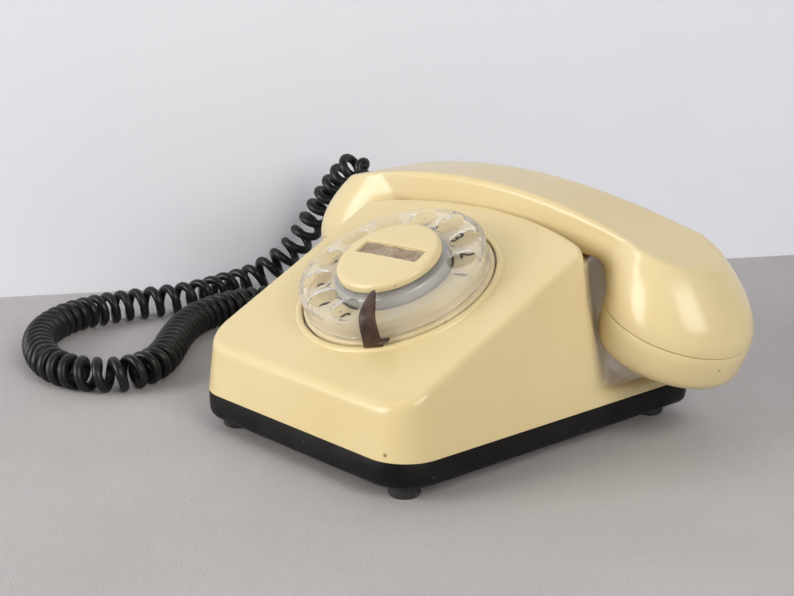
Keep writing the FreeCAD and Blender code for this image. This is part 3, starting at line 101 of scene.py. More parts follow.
specks, speck_in, speck_out = new_group(
    "specks", "ShaderNodeTree",
    {"Place": "Vector", "Base": "Color", "Dirt": "Color", "Speck Scale": "Float", "Speck Size": "Float",
     "Share": "Float", "Strength": "Float"}, {"Colour": "Color"})
speck_cells = add(specks, "ShaderNodeTexVoronoi", {"feature": "F1"})
speck_split = add(specks, "ShaderNodeSeparateColor")
speck_near, speck_pick, speck_both, speck_weak = (
    add(specks, "ShaderNodeMath", {"operation": kind})
    for kind in ("LESS_THAN", "LESS_THAN", "MULTIPLY", "MULTIPLY"))
speck_mix = add(specks, "ShaderNodeMix", {"data_type": "RGBA"})
join(specks, (speck_in, "Place", speck_cells, "Vector"), (speck_in, "Speck Scale", speck_cells, "Scale"),
     (speck_cells, "Distance", speck_near, 0), (speck_in, "Speck Size", speck_near, 1),
     (speck_cells, "Color", speck_split, "Color"), (speck_split, "Red", speck_pick, 0),
     (speck_in, "Share", speck_pick, 1), (speck_near, 0, speck_both, 0), (speck_pick, 0, speck_both, 1),
     (speck_both, 0, speck_weak, 0), (speck_in, "Strength", speck_weak, 1), (speck_weak, 0, speck_mix, 0),
     (speck_in, "Base", speck_mix, 6), (speck_in, "Dirt", speck_mix, 7),
     (speck_mix, 2, speck_out, "Colour"))

scuffs, scuff_in, scuff_out = new_group(
    "scuffs", "ShaderNodeTree",
    {"Place": "Vector", "Grain Scale": "Float", "Dull": "Float", "Shine": "Float"},
    {"Roughness": "Float", "Height": "Float"})
scuff_drag = add(scuffs, "ShaderNodeMapping", Scale=(1.0, 1.6, 0.55))
scuff_rub = add(scuffs, "ShaderNodeTexNoise", Scale=28.0, Detail=3.0, Roughness=0.5)
scuff_range = add(scuffs, "ShaderNodeMapRange", {"interpolation_type": "SMOOTHSTEP"},
                  From_Min=0.1, From_Max=0.9)
scuff_grain = add(scuffs, "ShaderNodeTexNoise", Detail=3.0)
join(scuffs, (scuff_in, "Place", scuff_drag, "Vector"), (scuff_drag, "Vector", scuff_rub, "Vector"),
     (scuff_rub, "Fac", scuff_range, "Value"), (scuff_in, "Shine", scuff_range, "To Min"),
     (scuff_in, "Dull", scuff_range, "To Max"), (scuff_in, "Place", scuff_grain, "Vector"),
     (scuff_in, "Grain Scale", scuff_grain, "Scale"), (scuff_range, "Result", scuff_out, "Roughness"),
     (scuff_grain, "Fac", scuff_out, "Height"))


def worn_finish(name, fresh, aged, dirt, shine, dull, patch=18.0, grain=420.0, relief=0.02,
                speck_scale=170.0, speck_size=0.16, share=0.06, strength=0.5, metal=0.0, gloss=0.5):
    """A worn surface: a tint in fresh and aged patches, specks of dirt, uneven gloss and a faint grain."""
    material = bpy.data.materials.new(name)
    material.use_nodes = True
    tree = material.node_tree
    skin = tree.nodes["Principled BSDF"]
    skin.inputs["Metallic"].default_value = metal
    skin.inputs["Specular IOR Level"].default_value = gloss
    place = add(tree, "ShaderNodeTexCoord")
    tint = add(tree, "ShaderNodeGroup", {"node_tree": aged_tint}, Fresh=(*fresh, 1), Aged=(*aged, 1),
               Patch_Scale=patch)
    dots = add(tree, "ShaderNodeGroup", {"node_tree": specks}, Dirt=(*dirt, 1), Speck_Scale=speck_scale,
               Speck_Size=speck_size, Share=share, Strength=strength)
    rub = add(tree, "ShaderNodeGroup", {"node_tree": scuffs}, Grain_Scale=grain, Dull=dull, Shine=shine)
    bump = add(tree, "ShaderNodeBump", Strength=relief, Distance=mm)
    join(tree, *((place, "Object", user, "Place") for user in (tint, dots, rub)))
    join(tree, (tint, "Colour", dots, "Base"), (dots, "Colour", skin, "Base Color"),
         (rub, "Roughness", skin, "Roughness"), (rub, "Height", bump, "Height"),
         (bump, "Normal", skin, "Normal"))
    return material


def finished(piece, material, body, slot, *stands_for, crease=38):
    """Dresses a piece, lets it ride on its body and hides the nodes it stands for."""
    mesh = piece.data
    mesh.materials.clear()
    mesh.materials.append(material)
    mesh.polygons.foreach_set("material_index", [0] * len(mesh.polygons))
    mesh.shade_smooth()
    mesh.set_sharp_from_angle(angle=math.radians(crease))
    if body:
        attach(piece, body)
    if stands_for:
        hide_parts(*stands_for)


def placed(name, data):
    """A new object of the scene that shows the given data."""
    piece = bpy.data.objects.new(name, data)
    scene.collection.objects.link(piece)
    return piece


def made_piece(name, points, faces, merge=True, nearest=1e-6):
    """A piece from points in millimetres and its faces, merged and facing outwards."""
    mesh = bpy.data.meshes.new(name)
    spots = np.asarray(points, float) * mm
    mesh.from_pydata(spots.tolist(), [], [list(map(int, f)) for f in faces])
    if merge:
        skin = bmesh.new()
        skin.from_mesh(mesh)
        bmesh.ops.remove_doubles(skin, verts=skin.verts[:], dist=nearest)
        bmesh.ops.recalc_face_normals(skin, faces=skin.faces[:])
        skin.to_mesh(mesh)
        skin.free()
    return placed(name, mesh)


def plan_ring(inset, height, arc_steps=12):
    """One level of the tray's rounded plan, drawn in from the outer edge."""
    corners = [(tray_front_half, -tray_half_depth, tray_front_round),
               (tray_rear_half, tray_half_depth, tray_rear_round),
               (-tray_rear_half, tray_half_depth, tray_rear_round),
               (-tray_front_half, -tray_half_depth, tray_front_round)]
    ring = []
    for index, (x, y, radius) in enumerate(corners):
        before = Vector(corners[index - 1][:2])
        after = Vector(corners[(index + 1) % len(corners)][:2])
        here = Vector((x, y))
        first = (here - before).normalized()
        second = (after - here).normalized()
        out_first = Vector((first.y, -first.x))
        out_second = Vector((second.y, -second.x))
        centre = here - radius * (out_first + out_second) / (1 + out_first.dot(out_second))
        start = math.atan2(out_first.y, out_first.x)
        sweep = (math.atan2(out_second.y, out_second.x) - start) % math.tau
        for step in range(arc_steps + 1):
            turn = start + sweep * step / arc_steps
            ring.append((centre.x + (radius - inset) * math.cos(turn),
                         centre.y + (radius - inset) * math.sin(turn), height))
    return ring


def ringed(name, rings, closed=False):
    """A piece of equal rings, joined one after another, with its two ends joined or capped."""
    count = len(rings[0])
    faces = []
    for level in range(len(rings) - (not closed)):
        following = (level + 1) % len(rings)
        for spot in range(count):
            ahead = (spot + 1) % count
            faces.append((level * count + spot, level * count + ahead,
                          following * count + ahead, following * count + spot))
    if not closed:
        faces.append(tuple(reversed(range(count))))
        faces.append(tuple(range((len(rings) - 1) * count, len(rings) * count)))
    return made_piece(name, np.concatenate(rings), faces)


tray = ringed("tray_shell", [plan_ring(inset, height) for inset, height in tray_wall_rings])
tray_finish = worn_finish("satin_black_moulding", *tray_colours, shine=0.3, dull=0.62,
                          patch=45.0, grain=900.0, relief=0.06, speck_scale=260.0, share=0.16,
                          strength=0.2, gloss=0.13)
finished(tray, tray_finish, "base", "black_plastic", "base_tray")


# Four moulded rubber feet are pushed into the tray's floor near its corners.
# Each is a short drum with a bevelled sole that keeps the phone from sliding.
foot_spots = [(-52.2, -70.8), (52.2, -70.8), (-63.8, 70.8), (63.8, 70.8)]
foot_radius = 6.5
sole_radius = 5.7
sole_height = 0.9
drum_height = 5.6
foot_facets = 32
foot_colours = [(0.016, 0.015, 0.014), (0.03, 0.028, 0.026), (0.12, 0.11, 0.1)]


def frozen(piece):
    """The plain mesh that an object's curves, modifiers or nodes make."""
    bpy.context.view_layer.update()
    return bpy.data.meshes.new_from_object(piece.evaluated_get(bpy.context.evaluated_depsgraph_get()))


def grown(name, spots, tree, values):
    """The piece that a node tree grows on spots, from lengths in millimetres and other values."""
    seed = bpy.data.meshes.new(name)
    seed.from_pydata([(x * mm, y * mm, 0) for x, y in spots], [], [])
    piece = placed(name, seed)
    maker = piece.modifiers.new("maker", "NODES")
    maker.node_group = tree
    for socket in tree.interface.items_tree:
        if socket.in_out == "INPUT" and socket.name in values:
            value = values[socket.name]
            maker[socket.identifier] = value * mm if isinstance(value, float) else value
    result = frozen(piece)
    piece.modifiers.remove(maker)
    piece.data = result
    return piece


foot_tree, foot_in, foot_out = new_group(
    "rubber_feet", "GeometryNodeTree",
    {"Geometry": "Geometry", "Foot Radius": "Float", "Sole Radius": "Float", "Sole Height": "Float",
     "Drum Height": "Float", "Rubber": "Material"}, {"Geometry": "Geometry"})
foot_sole = add(foot_tree, "GeometryNodeMeshCone", {"fill_type": "NGON"}, Vertices=foot_facets)
foot_drum = add(foot_tree, "GeometryNodeMeshCylinder", {"fill_type": "NGON"}, Vertices=foot_facets)
foot_half = add(foot_tree, "ShaderNodeMath", {"operation": "MULTIPLY"})
foot_half.inputs[1].default_value = 0.5
foot_top = add(foot_tree, "ShaderNodeMath", {"operation": "ADD"})
foot_lift = add(foot_tree, "ShaderNodeCombineXYZ")
foot_raise, foot_join, foot_set, foot_real, foot_dress = (
    add(foot_tree, "GeometryNode" + kind)
    for kind in ("Transform", "JoinGeometry", "InstanceOnPoints", "RealizeInstances", "SetMaterial"))
join(foot_tree, (foot_in, "Sole Radius", foot_sole, "Radius Bottom"),
     (foot_in, "Foot Radius", foot_sole, "Radius Top"), (foot_in, "Sole Height", foot_sole, "Depth"),
     (foot_in, "Foot Radius", foot_drum, "Radius"), (foot_in, "Drum Height", foot_drum, "Depth"),
     (foot_in, "Drum Height", foot_half, 0), (foot_half, 0, foot_top, 0),
     (foot_in, "Sole Height", foot_top, 1), (foot_top, 0, foot_lift, "Z"),
     (foot_drum, "Mesh", foot_raise, "Geometry"), (foot_lift, 0, foot_raise, "Translation"),
     (foot_sole, "Mesh", foot_join, 0), (foot_raise, 0, foot_join, 0),
     (foot_in, "Geometry", foot_set, "Points"), (foot_join, 0, foot_set, "Instance"),
     (foot_set, 0, foot_real, 0), (foot_real, 0, foot_dress, "Geometry"),
     (foot_in, "Rubber", foot_dress, "Material"), (foot_dress, 0, foot_out, "Geometry"))
rubber_finish = worn_finish("matt_black_rubber", *foot_colours, shine=0.6, dull=0.85,
                            patch=60.0, grain=1300.0, relief=0.08, strength=0.3)
feet = grown("rubber_foot_set", foot_spots, foot_tree,
             {"Foot Radius": foot_radius, "Sole Radius": sole_radius, "Sole Height": sole_height,
              "Drum Height": drum_height, "Rubber": rubber_finish})
finished(feet, rubber_finish, "base", "black_rubber", "rubber_feet")


# The housing is one hollow cream moulding with drafted walls, screwed to the tray from below.
# Its front slopes up to the dial's mouth, and its rear is waisted and troughed under the handset.
cream_fresh = (0.72, 0.597, 0.338)
cream_aged = (0.69, 0.552, 0.283)
cream_dirt = (0.12, 0.07, 0.03)
seam_height = 17.6
housing_wall = 2.8
draft = math.tan(math.radians(7.0))
wall_slant = 0.9925
front_round = 17.0
rear_round = 8.0
ledge_top = 23.5
shelf_top = 75.0
slope_turn = math.radians(23.8)
dial_centre = (0.0, -23.3, 64.96)
trough_centre = -146.7
trough_radius = 180.0
waist_half = 49.0
waist_shoulder = (73.65, 20.5)
waist_lean = 0.17
waist_level = 62.0
waist_facing = (0.8134, 0.5818)
waist_round = 4.7
shoulder_round = 7.0
slope_round = 2.6
trough_round = 5.0
trough_edge = 2.2
ledge_round = 3.0
ledge_blend = 0.6
ledge_blend_range = (0.01, 9.0)
side_facing = (0.9966, -0.0823)
pad_spots = [(42.0, 76.7), (-42.0, 80.3)]
pad_half = (2.5, 11.0)
pad_round = 1.2
pad_foot = 1.5
plunger_reach = 22.0
plunger_bore = 4.4
bore_round = 0.7
handset_line = 53.0
mouth_radius = 44.6
housing_box = ((-80, -86, 15), (80, 86, 93))
housing_grid = 1.4


def ridge(a, b, radius):
    """The overlap of two solids, with a rounded ridge where their faces meet."""
    corner = np.hypot(np.maximum(a + radius, 0), np.maximum(b + radius, 0))
    return np.minimum(np.maximum(a, b), -radius) + corner


def valley(a, b, radius):
    """Two solids joined, with a rounded valley where their faces meet."""
    return -ridge(-a, -b, radius)


def seated(points, seat):
    """Points moved from a seat's own axes to those of the part."""
    turn = np.array(seat)
    return points @ turn[:3, :3].T + turn[:3, 3]


def moulded(name, field, box, step, seat, passes=3, ease=0.5, least_slope=0.2):
    """Skins the zero level of a solid's distance field with quads that lie on the true surface."""
    axes = [np.arange(a - step, b + 2 * step, step) for a, b in zip(*box)]
    depth = field(*np.meshgrid(*axes, indexing="ij"))
    solid = depth < 0
    size = solid.shape
    cells = tuple(n - 1 for n in size)
    corners = [(i, j, k) for i in (0, 1) for j in (0, 1) for k in (0, 1)]
    count = np.zeros(cells, int)
    for i, j, k in corners:
        count += solid[i:i + cells[0], j:j + cells[1], k:k + cells[2]]
    skin = (count > 0) & (count < len(corners))
    number = np.full(cells, -1)
    number[skin] = np.arange(skin.sum())
    where = np.argwhere(skin)
    total = np.zeros((len(where), 3))
    hits = np.zeros(len(where))
    for axis in range(3):
        along = np.eye(3, dtype=int)[axis]
        for corner in corners:
            if corner[axis]:
                continue
            here = where + np.array(corner)
            near = depth[tuple(here.T)]
            far = depth[tuple((here + along).T)]
            crossed = (near < 0) != (far < 0)
            share = np.where(crossed, near / np.where(crossed, near - far, 1), 0)
            total += crossed[:, None] * (here + share[:, None] * along)
            hits += crossed
    points = total / hits[:, None] * step + np.array([a[0] for a in axes])
    rings = []
    for axis in range(3):
        b, c = (axis + 1) % 3, (axis + 2) % 3
        lower = np.take(solid, np.arange(size[axis] - 1), axis)
        upper = np.take(solid, np.arange(1, size[axis]), axis)
        spots = np.argwhere(lower != upper)
        inner = (spots[:, b] > 0) & (spots[:, b] < cells[b])
        inner &= (spots[:, c] > 0) & (spots[:, c] < cells[c])
        spots = spots[inner]
        around = []
        for step_b, step_c in ((-1, -1), (0, -1), (0, 0), (-1, 0)):
            cell = spots.copy()
            cell[:, b] += step_b
            cell[:, c] += step_c
            around.append(number[tuple(cell.T)])
        ring = np.stack(around, 1)
        inward = ~lower[tuple(spots.T)]
        ring[inward] = ring[inward][:, ::-1]
        rings.append(ring)
    quads = np.concatenate(rings)
    nudge = step / 20

    def drawn(spots):
        for _ in range(passes):
            value = field(*spots.T)
            slope = np.stack([field(*(spots + nudge * e).T) - field(*(spots - nudge * e).T)
                              for e in np.eye(3)], 1) / (2 * nudge)
            move = -value[:, None] * slope / np.maximum((slope ** 2).sum(1), least_slope)[:, None]
            spots = spots + np.clip(move, -step, step)
        return spots

    points = drawn(points)
    ends = np.concatenate([quads[:, [a, (a + 1) % 4]] for a in range(4)])
    ends = np.concatenate([ends, ends[:, ::-1]])
    degree = np.maximum(np.bincount(ends[:, 0], minlength=len(points)), 1)
    for _ in range(passes):
        mean = np.stack([np.bincount(ends[:, 0], points[ends[:, 1], i], len(points)) for i in range(3)], 1)
        points = drawn(points + ease * (mean / degree[:, None] - points))
    return made_piece(name, seated(points, seat), quads, merge=False)


def parted(piece, spot, facing, chosen=lambda middle: True, hair=1e-7):
    """Saws a shell along a plane, keeps the side that the plane faces and closes the sawn wall."""
    shell = bmesh.new()
    shell.from_mesh(piece.data)
    faces = [f for f in shell.faces if chosen(f.calc_center_median())]
    edges = list({e for f in faces for e in f.edges})
    verts = list({v for f in faces for v in f.verts})
    bmesh.ops.bisect_plane(shell, geom=verts + edges + faces, dist=hair, plane_co=spot, plane_no=facing,
                           clear_inner=True)
    rim = [e for e in shell.edges if e.is_boundary]
    bmesh.ops.triangle_fill(shell, edges=rim, use_beauty=True, use_dissolve=False, normal=-Vector(facing))
    shell.to_mesh(piece.data)
    shell.free()


def housing_body(x, y, z):
    """How far a point lies outside the housing's outer form, without its pads and openings."""
    across = np.abs(x)
    front = -tray_half_depth - y
    rear = y - tray_half_depth
    side = (across - tray_front_half) * side_facing[0] + (y + tray_half_depth) * side_facing[1]
    shoulder_back = y - waist_shoulder[1] - waist_lean * np.maximum(waist_level - z, 0)
    shoulder = (across - waist_shoulder[0]) * waist_facing[0] + shoulder_back * waist_facing[1]
    waist = valley(shoulder, across - waist_half, waist_round)
    lean = (z - seam_height) * draft
    plan_low = ridge(ridge(front, side, front_round), rear, rear_round)
    plan_high = ridge(ridge(front, ridge(side, waist, shoulder_round), front_round), rear, rear_round)
    low_wall = (plan_low + lean) * wall_slant
    high_wall = (plan_high + lean) * wall_slant
    slope = (z - dial_centre[2] - (y - dial_centre[1]) * math.tan(slope_turn)) * math.cos(slope_turn)
    trough = valley(np.hypot(x, y - trough_centre) - trough_radius, z - shelf_top, trough_round)
    upper = ridge(ridge(high_wall, slope, slope_round), trough, trough_edge)
    ledge = ridge(low_wall, z - ledge_top, ledge_round)
    return valley(upper, ledge, np.clip(ledge_blend * (plan_high - plan_low), *ledge_blend_range))


def housing_shell(x, y, z):
    """How far a point lies outside the housing's wall."""
    body = housing_body(x, y, z)
    outer = body
    for pad_x, pad_top in pad_spots:
        pad = ridge(np.abs(x - pad_x) - pad_half[0], np.abs(y - handset_line) - pad_half[1], pad_round)
        outer = valley(outer, ridge(pad, z - pad_top, pad_round), pad_foot)
    bore = plunger_bore - np.hypot(np.abs(x) - plunger_reach, y - handset_line)
    outer = ridge(outer, bore, bore_round)
    forward = (y - dial_centre[1]) * math.cos(slope_turn) + (z - dial_centre[2]) * math.sin(slope_turn)
    outer = np.maximum(outer, mouth_radius - np.hypot(x, forward))
    return np.maximum(outer, -(body + housing_wall))


housing = moulded("housing_moulding", housing_shell, housing_box, housing_grid, Matrix.Identity(4))
parted(housing, Vector((0, 0, seam_height * mm)), Vector((0, 0, 1)))
cream_finish = worn_finish("aged_cream_moulding", cream_fresh, cream_aged, cream_dirt, shine=0.19,
                           dull=0.25, patch=9.0, grain=260.0, relief=0.012, speck_scale=120.0,
                           speck_size=0.07, share=0.08, strength=0.55, gloss=0.42)
finished(housing, cream_finish, "base", "cream_plastic", "housing", crease=42)


# A low ring is moulded round the dial's mouth, and the printed number plate lies inside it.
# A dark gap parts the two, and black numerals are printed on the plate, one to a finger hole.
plate_radius = 42.2
plate_top = 5.6
mouth_profile = [(46.4, -0.5), (46.2, 0.1), (45.9, 0.55), (45.4, 0.95), (44.7, 1.18), (44.0, 1.2),
                 (43.5, 1.1), (43.15, 0.8), (43.0, 0.3), (43.0, -4.0), (44.9, -4.0), (44.9, -0.7)]
plate_profile = [(25.6, -1.0), (25.6, 5.1), (26.0, 5.5), (26.6, plate_top), (37.4, plate_top), (38.0, 5.4),
                 (38.3, 4.9), (38.5, 2.6), (38.9, 2.1), (39.6, 2.0), (40.8, 2.0), (41.5, 1.9), (41.95, 1.6),
                 (plate_radius, 1.0), (plate_radius, -1.0)]
numeral_height = 7.0
numeral_circle = 31.7
first_numeral = 17.0
dial_pitch = 28.2
type_size = 1.36
ink_gauge = 0.04
ink_swell = 0.14
ink_lift = 0.03
plate_fresh = (0.66, 0.56, 0.35)
plate_aged = (0.60, 0.48, 0.28)
ink_colours = [(0.02, 0.018, 0.016), (0.045, 0.04, 0.035), (0.3, 0.25, 0.16)]
dial_seat = Matrix.Translation(dial_centre) @ Matrix.Rotation(slope_turn, 4, "X")


def turned(name, profile, seat, steps=128):
    """Spins a profile of radii and heights about a seat's axis."""
    turns = np.linspace(0, math.tau, steps, endpoint=False)
    rings = [np.stack([r * np.cos(turns), r * np.sin(turns), np.full(steps, h)], 1) for r, h in profile]
    return ringed(name, [seated(ring, seat) for ring in rings], closed=True)


mouth_ring = turned("dial_mouth_ring", mouth_profile, dial_seat)
finished(mouth_ring, cream_finish, "base", "cream_plastic")
plate = turned("number_plate_disc", plate_profile, dial_seat)
plate_finish = worn_finish("cream_number_plate", plate_fresh, plate_aged, cream_dirt, shine=0.25, dull=0.42,
                           patch=40.0, grain=300.0, speck_scale=200.0, share=0.1, strength=0.4)
finished(plate, plate_finish, "base", "cream_plastic", "number_plate")

numeral_mesh = bmesh.new()
for index, figure in enumerate("1234567890"):
    turn = math.radians(first_numeral + dial_pitch * index)
    text = bpy.data.curves.new("numeral", "FONT")
    text.body = figure
    text.size = numeral_height * type_size
    text.align_x = "CENTER"
    text.align_y = "CENTER"
    text.extrude = ink_gauge
    text.offset = ink_swell
    writer = placed("numeral", text)
    printed = frozen(writer)
    bpy.data.objects.remove(writer)
    spot = Matrix.Rotation(turn, 4, "Z") @ Matrix.Translation((numeral_circle, 0, plate_top + ink_lift))
    spot = spot @ Matrix.Rotation(-math.pi / 2, 4, "Z")
    printed.transform(Matrix.Scale(mm, 4) @ dial_seat @ spot)
    numeral_mesh.from_mesh(printed)
    bpy.data.meshes.remove(printed)
numeral_print = bpy.data.meshes.new("plate_numerals")
numeral_mesh.to_mesh(numeral_print)
numeral_mesh.free()
numerals = placed("plate_numerals", numeral_print)
ink_finish = worn_finish("printed_ink", *ink_colours, shine=0.4, dull=0.6,
                         patch=300.0, share=0.2, speck_scale=900.0, strength=0.5)
finished(numerals, ink_finish, "base", "black_plastic")


# The finger wheel is turned from clear acrylic, with ten finger holes and a skirt round its rim.
# It is clamped to the dial's drum in the middle, and its hole edges are polished round.
wheel_radius = 41.0
wheel_top = 12.0
wheel_under = 10.3
skirt_wall = 1.9
skirt_foot = 2.7
finger_circle = 32.5
finger_radius = 6.3
first_finger = 23.0
finger_count = 10
finger_round = 0.75
rim_round = 1.8
under_round = 0.5
skirt_round = 0.4
skirt_sink = 1.0
skirt_blend = 0.8
step_radius = 24.6
step_top = 12.35
step_round = 0.3
step_blend = 0.4
hub_bore = 8.6
wheel_box = ((-41.5, -41.5, 2), (41.5, 41.5, 12.8))
wheel_grid = 0.45
clear_fresh = (0.99, 0.98, 0.95)
clear_aged = (0.97, 0.955, 0.91)
clear_share = 0.88
clear_bend = 1.14


def wheel_body(x, y, z):
    """How far a point lies outside the wheel, with the dial's axis upright."""
    radius = np.hypot(x, y)
    disc = ridge(ridge(radius - wheel_radius, z - wheel_top, rim_round), wheel_under - z, under_round)
    skirt = ridge(ridge(radius - wheel_radius, wheel_radius - skirt_wall - radius, skirt_round),
                  ridge(z - wheel_top + skirt_sink, skirt_foot - z, skirt_round), skirt_round)
    step = ridge(radius - step_radius, ridge(z - step_top, wheel_under - z, step_round), step_round)
    body = valley(valley(disc, skirt, skirt_blend), step, step_blend)
    for index in range(finger_count):
        turn = math.radians(first_finger + dial_pitch * index)
        hole_x = finger_circle * math.cos(turn)
        hole_y = finger_circle * math.sin(turn)
        body = ridge(body, finger_radius - np.hypot(x - hole_x, y - hole_y), finger_round)
    return ridge(body, hub_bore - radius, step_round)


wheel = moulded("clear_finger_wheel", wheel_body, wheel_box, wheel_grid, dial_seat)
clear_finish = worn_finish("clear_acrylic", clear_fresh, clear_aged, clear_aged, shine=0.05, dull=0.16,
                           patch=30.0, grain=500.0, relief=0.0, strength=0.0)
clear_skin = clear_finish.node_tree.nodes["Principled BSDF"]
clear_skin.inputs["Transmission Weight"].default_value = clear_share
clear_skin.inputs["IOR"].default_value = clear_bend
finished(wheel, clear_finish, "dial", "clear_plastic", "finger_wheel", crease=80)


# The dial's drum is spun from grey alloy, and its flange clamps the clear wheel from below.
# It shows through the wheel as a dull band round the centre cap.
drum_profile = [(9.0, 2.3), (24.4, 2.3), (24.8, 2.7), (25.0, 3.2), (25.0, 9.3), (24.8, 9.8),
                (24.3, 10.1), (9.0, 10.1)]
alloy_fresh = (0.50, 0.51, 0.53)
alloy_aged = (0.42, 0.43, 0.45)
metal_dirt = (0.1, 0.07, 0.05)


def metal_finish(name, fresh, aged, shine, dull, metal=1.0):
    """A drawn or turned metal, or an inner plastic, with a dulled, patchy face."""
    return worn_finish(name, fresh, aged, metal_dirt, shine, dull, patch=120.0, grain=900.0, relief=0.03,
                       speck_scale=500.0, share=0.08, strength=0.4, metal=metal)


drum = turned("alloy_hub_drum", drum_profile, dial_seat)
alloy_finish = metal_finish("spun_alloy", alloy_fresh, alloy_aged, shine=0.35, dull=0.5, metal=0.75)
finished(drum, alloy_finish, "dial", "aluminium", "hub_drum")


# The cream centre cap is pressed over the wheel's hub, and its window holds a slip of old paper.
# The window is a shallow recess at a slight angle, and the slip in it is wavy and stained.
cap_radius = 23.0
cap_top = 16.7
cap_foot = 12.4
window_half = (16.75, 4.1)
window_lift = 2.0
window_turn = math.radians(5.0)
window_depth = 1.6
window_round = 0.7
window_floor_round = 0.15
window_edge_round = 0.35
cap_crown = 0.5
cap_round = 2.0
cap_foot_round = 0.5
cap_box = ((-23.5, -23.5, 12), (23.5, 23.5, 17))
cap_grid = 0.5
card_steps = (48, 14)
card_margin = (0.5, 0.45)
card_lift = 0.32
card_gauge = 0.18
card_waves = [(0.12, 0.55, 0.4), (0.072, 0.21, -0.9)]
paper_colours = [(0.38, 0.31, 0.225), (0.24, 0.17, 0.115), (0.09, 0.05, 0.03)]


def cap_body(x, y, z):
    """How far a point lies outside the cap, with the dial's axis upright."""
    radius = np.hypot(x, y)
    dome = z - cap_top + cap_crown * (radius / cap_radius) ** 2
    puck = ridge(ridge(radius - cap_radius, dome, cap_round), cap_foot - z, cap_foot_round)
    along = x * math.cos(window_turn) + (y - window_lift) * math.sin(window_turn)
    over = -x * math.sin(window_turn) + (y - window_lift) * math.cos(window_turn)
    pocket = ridge(ridge(np.abs(along) - window_half[0], np.abs(over) - window_half[1], window_round),
                   cap_top - window_depth - z, window_floor_round)
    return ridge(puck, -pocket, window_edge_round)


cap = moulded("cream_centre_cap", cap_body, cap_box, cap_grid, dial_seat)
finished(cap, cream_finish, "dial", "cream_plastic", "centre_cap", crease=50)

card_seat = (dial_seat @ Matrix.Translation((0, window_lift, cap_top - window_depth + card_lift))
             @ Matrix.Rotation(window_turn, 4, "Z"))
card_points = []
for row in range(card_steps[1] + 1):
    for column in range(card_steps[0] + 1):
        along = (column / card_steps[0] * 2 - 1) * (window_half[0] - card_margin[0])
        over = (row / card_steps[1] * 2 - 1) * (window_half[1] - card_margin[1])
        wave = sum(height * math.sin(along * a + over * b) for height, a, b in card_waves)
        card_points.append(card_seat @ Vector((along, over, wave)))
card_row = card_steps[0] + 1
card_faces = [(r * card_row + c, r * card_row + c + 1, (r + 1) * card_row + c + 1, (r + 1) * card_row + c)
              for r in range(card_steps[1]) for c in range(card_steps[0])]
card = made_piece("paper_label_slip", card_points, card_faces)
card_thick = card.modifiers.new("paper", "SOLIDIFY")
card_thick.thickness = card_gauge * mm
paper_finish = worn_finish("aged_paper", *paper_colours, shine=0.7, dull=0.9,
                           patch=160.0, grain=1500.0, relief=0.15, speck_scale=420.0, speck_size=0.3,
                           share=0.3, strength=0.55)
finished(card, paper_finish, "dial", "paper", "label_card")


# The finger stop is a bent steel claw, screwed beside the plate and reaching in over the wheel.
# Its brown lacquer is worn and chipped, and a small tab stands beside its root.
stop_spine = [(22.4, -38.4, 1.6), (22.2, -37.9, 5.5), (21.7, -36.9, 10.5), (20.8, -35.3, 13.6),
              (19.2, -32.6, 14.9), (17.2, -29.4, 15.4), (15.0, -26.0, 15.4), (12.9, -22.9, 15.0),
              (11.6, -21.0, 14.5)]
stop_widths = [8.6, 8.0, 7.6, 7.2, 6.6, 5.4, 3.8, 2.3, 0.8]
stop_gauges = [1.5, 1.6, 1.7, 1.9, 2.1, 2.2, 2.1, 1.7, 0.9]
stop_across = Vector((0.87, 0.49, 0.0))
tab_spine = [(21.5, -37.2, 2.6), (24.0, -36.2, 2.9), (26.5, -35.2, 3.3), (28.4, -34.4, 3.9)]
tab_widths = [3.2, 3.4, 3.2, 2.6]
tab_gauges = [1.0, 1.0, 1.0, 0.8]
tab_across = Vector((-0.4, 0.9, 0.0))
lacquer_colours = [(0.020, 0.011, 0.009), (0.085, 0.042, 0.022), (0.25, 0.20, 0.15)]


def lofted(name, spine, widths, gauges, across, seat, refine=6, around=20, squareness=(0.6, 0.8)):
    """A strip of rounded section, drawn along a smooth spine."""
    knots = np.arange(len(spine))
    fine = np.linspace(0, len(spine) - 1, (len(spine) - 1) * refine + 1)

    def eased(values):
        values = np.asarray(values, float)
        slopes = np.gradient(values)
        low = np.minimum(fine.astype(int), len(spine) - 2)
        t = fine - knots[low]
        return ((2 * t ** 3 - 3 * t ** 2 + 1) * values[low] + (t ** 3 - 2 * t ** 2 + t) * slopes[low]
                + (3 * t ** 2 - 2 * t ** 3) * values[low + 1] + (t ** 3 - t ** 2) * slopes[low + 1])

    line = np.stack([eased([p[i] for p in spine]) for i in range(3)], 1)
    wide = eased(widths)
    thick = eased(gauges)
    ahead = np.gradient(line, axis=0)
    rings = []
    for spot, heading, width, gauge in zip(line, ahead, wide, thick):
        heading = Vector(heading).normalized()
        side = (across - heading * across.dot(heading)).normalized()
        up = side.cross(heading)
        ring = []
        for step in range(around):
            turn = math.tau * step / around
            c, s = math.cos(turn), math.sin(turn)
            x = math.copysign(abs(c) ** squareness[0], c) * width / 2
            y = math.copysign(abs(s) ** squareness[1], s) * gauge / 2
            ring.append(seat @ (Vector(spot) + side * x + up * y))
        rings.append(ring)
    return ringed(name, rings)


stop = lofted("finger_stop_claw", stop_spine, stop_widths, stop_gauges, stop_across, dial_seat)
stop_finish = worn_finish("worn_brown_lacquer", *lacquer_colours, shine=0.28,
                          dull=0.5, patch=130.0, grain=700.0, relief=0.08, speck_scale=380.0,
                          speck_size=0.2, share=0.14, strength=0.5, metal=0.1)
finished(stop, stop_finish, "base", "dark_metal", "finger_stop")
stop_tab = lofted("finger_stop_tab", tab_spine, tab_widths, tab_gauges, tab_across, dial_seat)
finished(stop_tab, stop_finish, "base", "dark_metal")


